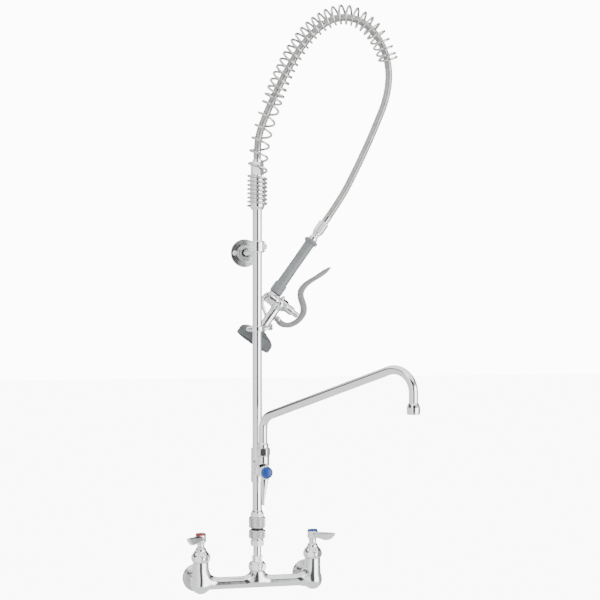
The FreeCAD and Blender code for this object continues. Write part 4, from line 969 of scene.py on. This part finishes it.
# ---- add-on faucet and swing nozzle
def addon():
    """The faucet in the riser: cast body, bonnet, hanging lever and blue index."""
    low, high = levels("addon_body")
    level = joints["addon_turn"]["pos_m"][2] / MM
    barrel_end = 48
    forward = -(centre("nozzle_swivel_nut").y - riser_line.y) / MM
    boss_low, boss_top = 214, levels("nozzle_swivel_nut")[0]

    def field(p):
        sleeve = rod(p, (0, 0, low), (0, 0, high), 11.2, 1.0)
        barrel = rod(p, (0, -8, level), (0, -barrel_end, level), 12.8, 0.8)
        shoulder = ball(p, (0, -forward + 13, level + 5), 12.4)
        boss = rod(p, (0, -forward, boss_low), (0, -forward, boss_top), 11.2, 0.9)
        made = joined(joined(sleeve, barrel, 3), joined(shoulder, boss, 6), 4)
        return carved(made, rod(p, (0, -barrel_end, level), (0, -barrel_end - 25, level), 12.6, 0.2), 0.8)

    shell = cast(field, (-15, -forward - 14, low - 1), (15, 14, high + 1), 0.9)
    piece("addon_casting", "root", CAST, [shell], RISER, ["addon_body"], field=field)

    out = inside(RISER, (0, 0, level), (0, -1, 0))
    outline = [
        (4.2, barrel_end), (13.2, barrel_end), (13.2, barrel_end + 5), (9, barrel_end + 7),
        (8.2, 58.5), (4.2, 58.5),
    ]
    bonnet = turned(outline, 0.8, 96, polygon(24), longest=1.0)
    piece("addon_bonnet_nut", "root", CHROME, [bonnet], out, ["addon_bonnet"])

    hub_back, face = 61.4, 89.4
    arm_top = 80.16
    lean = math.radians(5)
    turn = place(out.translation, (-math.sin(lean), 0, -math.cos(lean)), (0, -1, 0))

    def lever_field(p):
        hub = rod(p, (0, 0, hub_back), (0, 0, face), 10.4, 1.4)
        made = joined(hub, blade_gap(p, arm_top), 4)
        return joined(made, ball(p, (55, 0, arm_top - 3 + 55 * ARM_RISE), 2.6), 1.5)

    shell = cast(lever_field, (-12, -12, hub_back - 1), (60, 12, face + 1), 0.8)
    nodes = ["addon_lever"]
    piece("addon_handle", "addon_control", CHROME, [shell], turn, nodes, field=lever_field)
    outline = [
        (0, face - 4), (8.6, face - 4), (8.6, face + 0.1), (10.3, face + 0.2), (10.3, face + 2.2),
        (9.3, face + 3.4), (8.2, face + 3.5), (7.8, face + 3.1), (5, face + 4.0), (0, face + 4.4),
    ]
    button = turned(outline, 0.4, 64, closed=False)
    piece("addon_button", "addon_control", paint["blue"], [button], out, ["addon_index"])


def nozzle():
    """Swivel nut, bent tube with its collar, and the outlet with its rings."""
    pivot = joints["nozzle_swing"]["pos_m"]
    stand = place((pivot[0], pivot[1], 0))
    low, high = levels("nozzle_swivel_nut")
    swivel = nut(low, high, 22.5, 12.5, 8.7, 1.6)
    swivel = moved(swivel, at((0, 0, 0), spin=20))
    piece("swivel_nut", "root", CHROME, [swivel], stand, ["nozzle_swivel_nut"])

    tip = centre("nozzle_outlet")
    outlet_low, outlet_high = levels("nozzle_outlet")
    reach = Vector((tip.x - pivot[0], tip.y - pivot[1], 0)) / MM
    radius, collar_top, rise = 7.5, 253.0, 297.0
    start, first_bend = (0, 0, collar_top - 3), (0, 0, rise)
    peak, end = (reach.x, reach.y, 402.8), (reach.x, reach.y, outlet_high - 3)
    line = bent([start, first_bend, peak, end], (26, 36))
    outline = [
        (6.4, low - 8), (8.3, low - 8), (8.3, high + 0.3), (9.8, high + 0.3),
        (9.8, collar_top - 2.5), (7.6, collar_top + 0.5), (6.4, collar_top + 0.5),
    ]
    collar = turned(outline, 0.7)
    piece("nozzle_tube", "nozzle", CHROME, [sweep(line, radius, 40), collar], stand, ["swing_nozzle"])

    outline = [
        (6.6, outlet_low + 0.6), (9.6, outlet_low), (10.6, outlet_low + 0.9),
        (10.6, outlet_low + 3.2), (11.0, outlet_low + 3.6), (11.0, outlet_high - 7),
        (9.4, outlet_high - 2.5), (8.2, outlet_high), (7.5, outlet_high), (6.6, outlet_high - 4),
    ]
    base_at = place((tip.x, tip.y, 0))
    shells = [turned(outline, 0.5), tube(outlet_low + 3, outlet_low + 4.2, 7.2, 2.0, 0.3)]
    piece("outlet_tip", "nozzle", CHROME, shells, base_at, ["nozzle_outlet"])


addon()
nozzle()


# ---- wall bracket and finger hook
def screw_head(radius, height, slot):
    """A pan head on its seat, with a cross slot."""

    def field(p):
        dome = np.maximum(ball(p, (0, 0, height - radius * 1.35), radius * 1.35), -p[..., 2])
        head = np.maximum(dome, np.hypot(p[..., 0], p[..., 1]) - radius)
        cross = np.minimum(
            block(p, (0, 0, height), (radius * 0.62, slot / 2, height * 0.55), 0.1),
            block(p, (0, 0, height), (slot / 2, radius * 0.62, height * 0.55), 0.1),
        )
        return carved(head, cross, 0.2)

    return cast(field, (-radius, -radius, 0), (radius, radius, height), 0.35)


def bracket():
    """Clamp halves, screws, threaded rod and wall flange."""
    level = centre("bracket_clamp_front").z / MM
    width, height = 34.0, 20.6
    screw_x = width / 2 - 4.6

    def half(side):
        def field(p):
            saddle = rod(p, (0, 0, level - height / 2), (0, 0, level + height / 2), 13.2, 2.4)
            plate = block(p, (0, 0, level), (7, 7.2, height * 0.42), 1.2)
            for way in (-1, 1):
                spot = way * (width / 2 - 8.4)
                plate = np.minimum(plate, rod(p, (spot, -7.2, level), (spot, 7.2, level), 8.4, 1.2))
                seat_x = way * screw_x
                seat = rod(p, (seat_x, side * 6.4, level), (seat_x, side * 20, level), 4.9, 0.2)
                plate = carved(plate, seat, 0.4)
            made = joined(saddle, plate, 4)
            made = carved(made, rod(p, (0, 0, level - 20), (0, 0, level + 20), 8.7, 0.1), 0.5)
            return np.maximum(made, 0.35 - side * p[..., 1])

        return cast(field, (-width / 2 - 1, -15, level - 12), (width / 2 + 1, 15, level + 12), 0.8)

    for word, side in (("front", -1), ("back", 1)):
        nodes = [f"bracket_clamp_{word}"]
        piece(f"clamp_{word}", "wall_bracket", CAST, [half(side)], RISER, nodes, crisp=False)
    head = screw_head(4.3, 3.0, 1.1)
    shank = tube(-6, 13, 2.4, 0.4, 0.2, 24)
    shells = [moved(head, at((way * screw_x, -7.2, level), (0, -1, 0))) for way in (-1, 1)]
    shells += [moved(shank, at((way * screw_x, 0, level), (0, 1, 0))) for way in (-1, 1)]
    piece("clamp_screws", "wall_bracket", CHROME, shells, RISER, ["bracket_clamp_screws"], crisp=False)

    low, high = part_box("bracket_rod")
    rod_level = centre("bracket_rod").z / MM
    start, end = (low.y - riser_line.y) / MM, (high.y - riser_line.y) / MM
    outline = divided([(0, start), (4.8, start), (4.8, end), (0, end)], 0.25, closed=False)
    thread = lathe(outline, 32, threaded(1.8, 0.8, 4.5), closed=False)
    back = inside(RISER, (0, 0, rod_level), (0, 1, 0))
    piece("bracket_stud", "wall_bracket", CHROME, [thread], back, ["bracket_rod"], crisp=False)

    wall = (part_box("bracket_flange")[1].y - riser_line.y) / MM
    rim = (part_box("bracket_flange")[1].x - riser_line.x) / MM
    face = inside(RISER, (0, wall, rod_level), (0, -1, 0))
    outline = [
        (4.9, 0), (rim, 0), (rim, 1.2), (rim - 0.8, 2.0), (19, 3.0), (14.4, 3.9), (14.0, 5.6),
        (12.2, 6.0), (11.6, 8), (11.0, 15.6), (10.2, 17), (8.8, 17), (8.2, 15.8), (8.0, 8),
        (4.9, 7.4),
    ]
    plate = turned(outline, 0.8, 96, steps=4)
    piece("bracket_plate", "wall_bracket", paint["satin"], [plate], face, ["bracket_flange"])
    screws = []
    circle = 19
    for i in range(3):
        angle = math.radians(180 + 120 * i)
        spot = (circle * math.cos(angle), wall - 3.0, rod_level + circle * math.sin(angle))
        screws.append(moved(screw_head(4.6, 3.0, 1.2), at(spot, (0, -1, 0), 20 * i)))
    piece("wall_screws", "wall_bracket", CHROME, screws, RISER, ["bracket_wall_screws"], crisp=False)


def hook():
    """The clip on the riser and its curled finger."""
    level = 451.4
    height = 9.5
    route = [(9, 4, level), (22, 8, level), (30.5, 24, level), (32, 44, level), (36, 56, level + 5)]
    finger = [tuple(point) for point in through(route, 40)]

    def field(p):
        collar = rod(p, (0, 0, level - height / 2), (0, 0, level + height / 2), 12.6, 1.4)
        lug = rod(p, (-8, -4, level), (-18, -4, level), 4.6, 0.8)
        made = joined(joined(collar, lug, 2), bar(p, finger, 3.0), 3)
        made = joined(made, ball(p, route[-1], 3.75), 1.5)
        return carved(made, rod(p, (0, 0, level - 20), (0, 0, level + 20), 8.5, 0.1), 0.5)

    shell = cast(field, (-19, -14, level - 6), (41, 61, level + 10), 0.8)
    piece("hook_clip", "root", CHROME, [shell], RISER, ["finger_hook"], field=field)
    head = moved(screw_head(3.6, 3.0, 1.0), at((-18, -4, level), (-1, 0, 0)))
    piece("hook_screw", "root", CHROME, [head], RISER, ["hook_set_screw"], crisp=False)


bracket()
hook()


# ---- spray valve
def handle():
    """Hose nut, collar and the insulating grip."""
    shells = [nut(-23, 0, 17.5, 9.9, 4.6, 1.2), tube(-24, -22.5, 8.0, 4.6)]
    piece("hose_nut", "spray_valve", CHROME, shells, inside(HANDSET, (0, 0, 0), spin=30), ["hose_end_nut"])
    outline = [
        (4.6, -23), (8.2, -23), (8.2, -26), (6.6, -28.5), (6.6, -31.5), (8.4, -34), (8.4, -40),
        (4.6, -40),
    ]
    piece("collar_ring", "spray_valve", CHROME, [turned(outline, 0.7)], HANDSET, ["handle_collar"])

    start, end = -40.0, -160.0
    outline = [
        (7.0, start), (11.8, start), (13.3, start - 2.2), (13.3, start - 4.6), (11.6, start - 6.8),
        (9.7, start - 8.4), (9.5, (start + end) / 2), (9.9, end + 22), (12.4, end + 20.5),
        (12.4, end + 0.8), (7.0, end),
    ]

    def facets(angle, radius, height):
        flat = polygon(23.0)(angle, radius, height)
        return np.where(height < end + 21, flat, radius)

    grip = turned(outline, 0.9, 96, facets, steps=4, longest=1.6)
    piece("grip_sleeve", "spray_valve", paint["grip"], [grip], HANDSET, ["handle_grip"])


def spray_body():
    """The cast valve body: neck, valve chamber, outlet tube, hanging loop and the lever's lug."""
    level, offset, pivot_out, pivot = -169.0, 17.5, 32.0, -196.0
    tube_end = -235.0
    loop = through([(-6, 0, -164), (-12, 0, -171), (-11.5, 0, -184), (-1, 0, -195), (11, 0, -203)], 24)

    def field(p):
        neck = rod(p, (0, 0, -160.2), (0, 0, -182), 8.4, 0.6)
        chamber = rod(p, (-8.6, 0, level - 1), (12, 0, level - 1), 12.0, 3.0)
        rim = rod(p, (15, 0, level), (19.4, 0, level), 14.8, 0.8)
        outlet = rod(p, (offset, 0, level), (offset, 0, tube_end), 8.4, 0.8)
        turn = ball(p, (offset - 0.5, 0, level - 4), 12.6)
        ring = rod(p, (offset, 0, tube_end), (offset, 0, tube_end + 5), 9.8, 0.8)
        lug = joined(
            block(p, ((offset + pivot_out) / 2, 0, pivot), ((pivot_out - offset) / 2, 3.4, 5.4), 0.6),
            rod(p, (pivot_out, -3.4, pivot), (pivot_out, 3.4, pivot), 5.4, 0.6),
            1.0,
        )
        made = joined(joined(neck, chamber, 4), outlet, 5)
        made = joined(joined(made, turn, 1.5), rim, 1.0)
        made = joined(joined(made, lug, 2), ring, 1)
        made = joined(made, bar(p, loop, 3.1), 2)
        room = rod(p, (0, 0, -160.1), (0, 0, -140), 12.9, 0.1)
        return carved(made, room, 0.4)

    shell = cast(field, (-17, -16, tube_end - 1), (39, 16, -155), 0.85)
    nodes = ["spray_valve_body"]
    piece("valve_casting", "spray_valve", CAST, [shell], HANDSET, nodes, field=field)

    out = inside(HANDSET, (0, 0, level), (1, 0, 0))
    outline = [
        (2.6, 31), (8.6, 31), (8.6, 33), (8.2, 33.6), (8.2, 45), (7.2, 47), (5.7, 47), (5.7, 33),
        (2.6, 33),
    ]
    barrel = turned(outline, 0.4, 64, longest=1.5)
    flats = moved(nut(19.6, 31, 20, 11.3, 2.6, 1.4), at((0, 0, 0), spin=30))
    piece("bonnet_barrel", "spray_valve", CHROME, [flats, barrel], out, ["valve_bonnet"])

    outline = [(0, 6), (2.4, 6), (2.4, 44.5), (5.4, 44.5), (5.4, 57.4), (4.6, 58.8), (0, 59)]
    shell = turned(outline, 0.5, 48, closed=False)
    piece("push_plunger", "plunger", CHROME, [shell], out, ["valve_plunger"])

    nodes = ["valve_return_spring"]
    coil = piece("button_spring", "spray_valve", paint["steel"], [return_spring()], out, nodes, crisp=False)
    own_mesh(coil)

    outline = [
        (0, -9.0), (2.6, -8.9), (3.4, -8.2), (3.4, -7.3), (2.0, -7.3), (2.0, 7.4), (1.4, 8.0),
        (0, 8.0),
    ]
    pin = turned(outline, 0.3, 40, closed=False)
    across = inside(HANDSET, (pivot_out, 0, pivot), (0, 1, 0))
    piece("pivot_pin", "spray_valve", CHROME, [pin], across, ["lever_pin"])


def return_spring():
    """A short coil spring round the plunger's stem."""
    turns, start, end = 6, 32.8, 43.2
    steps = np.linspace(0, turns, turns * 20)
    angle = 2 * math.pi * steps
    height = start + (end - start) * steps / turns
    return sweep(np.stack([4.0 * np.cos(angle), 4.0 * np.sin(angle), height], -1), 0.55, 8)


# the squeeze lever's outer side from its fork to its tip, and its inner side from the tip back again
LEVER_OUTER = [
    (30.5, -200.8), (40, -203.6), (52, -200.5), (63, -190), (69.8, -172), (68.5, -155),
    (57, -140.5), (43.5, -129), (42.3, -115), (52, -88), (58, -70), (58.5, -61),
]
LEVER_INNER = [
    (54, -62), (49, -72), (43, -88), (33.8, -110), (32.5, -130), (42.5, -144), (55.5, -154.5),
    (60.4, -166), (59.6, -175), (55.5, -184), (48, -191.3), (40, -192.8), (33, -191.2),
]


def outline_gap(p, outline):
    """Signed distance in the XZ plane to a closed outline."""
    x, z = p[..., 0], p[..., 2]
    nearest = np.full(x.shape, 1e9)
    inside_it = np.zeros(x.shape, bool)
    for (x0, z0), (x1, z1) in zip(outline, np.roll(outline, -1, axis=0)):
        run_x, run_z = x1 - x0, z1 - z0
        share = np.clip(((x - x0) * run_x + (z - z0) * run_z) / (run_x**2 + run_z**2), 0, 1)
        nearest = np.minimum(nearest, (x - x0 - share * run_x) ** 2 + (z - z0 - share * run_z) ** 2)
        if z0 != z1:
            inside_it ^= ((z0 > z) != (z1 > z)) & (x < (z - z0) / run_z * run_x + x0)
    return np.where(inside_it, -1, 1) * np.sqrt(nearest)


def squeeze_lever():
    """The S-curved lever: a soft-edged bar, forked over the valve's lug."""
    outer, inner = [through([(x, 0, z) for x, z in side], 64)[:, ::2] for side in (LEVER_OUTER, LEVER_INNER)]
    outline = np.concatenate([outer, [(57.2, -58.8)], inner, [(28.6, -192.4), (27.4, -196.4)]])
    edge = 3.4

    def field(p):
        wide = np.interp(p[..., 2], (-200, -120, -85, -58), (7.0, 7.0, 6.6, 4.2))
        flat = outline_gap(p, outline) + edge
        side = np.abs(p[..., 1]) - wide + edge
        return carved(softened(flat, side, edge), block(p, (30, 0, -196), (10, 3.9, 15), 0.3), 0.5)

    shell = cast(field, (25, -7.5, -205), (71, 7.5, -56), 1.0)
    piece("thumb_lever", "squeeze_lever", paint["lever"], [shell], HANDSET, ["spray_lever"], crisp=False)


def spray_head():
    """Rubber bumper, metal shell and the screw in the spray face."""
    back, face = -242.0, -258.0
    base = inside(HANDSET, (17.5, 0, 0))
    outline = [
        (29.5, face), (33.4, face), (34.7, face + 1.6), (34.7, back - 3), (33.6, back + 0.5),
        (27, back + 5.6), (17, back + 9.6), (12.4, back + 12), (11.2, back + 12.2),
        (11.2, back + 7), (29.5, back),
    ]
    bumper = turned(outline, 1.6, 96, steps=5, longest=3)
    piece("rubber_bumper", "spray_valve", paint["bumper"], [bumper], base, ["spray_bumper"])
    outline = [
        (5, back + 8), (10.9, back + 8), (11.0, back + 7), (29.3, back - 0.2), (29.3, face + 6),
        (27.6, face + 6), (27.6, back - 2), (8.6, back + 4), (5, back + 4),
    ]
    piece("head_shell", "spray_valve", CHROME, [turned(outline, 0.6)], base, ["spray_shell"])
    screw = moved(screw_head(4.6, 2.4, 1.2), at((0, 0, face + 6.5), (0, 0, -1)))
    shank = tube(face + 6, face + 16, 2.3, 0.4, 0.2, 24)
    piece("face_screw", "spray_valve", CHROME, [screw, shank], base, ["spray_face_screw"], crisp=False)


handle()
spray_body()
squeeze_lever()
spray_head()
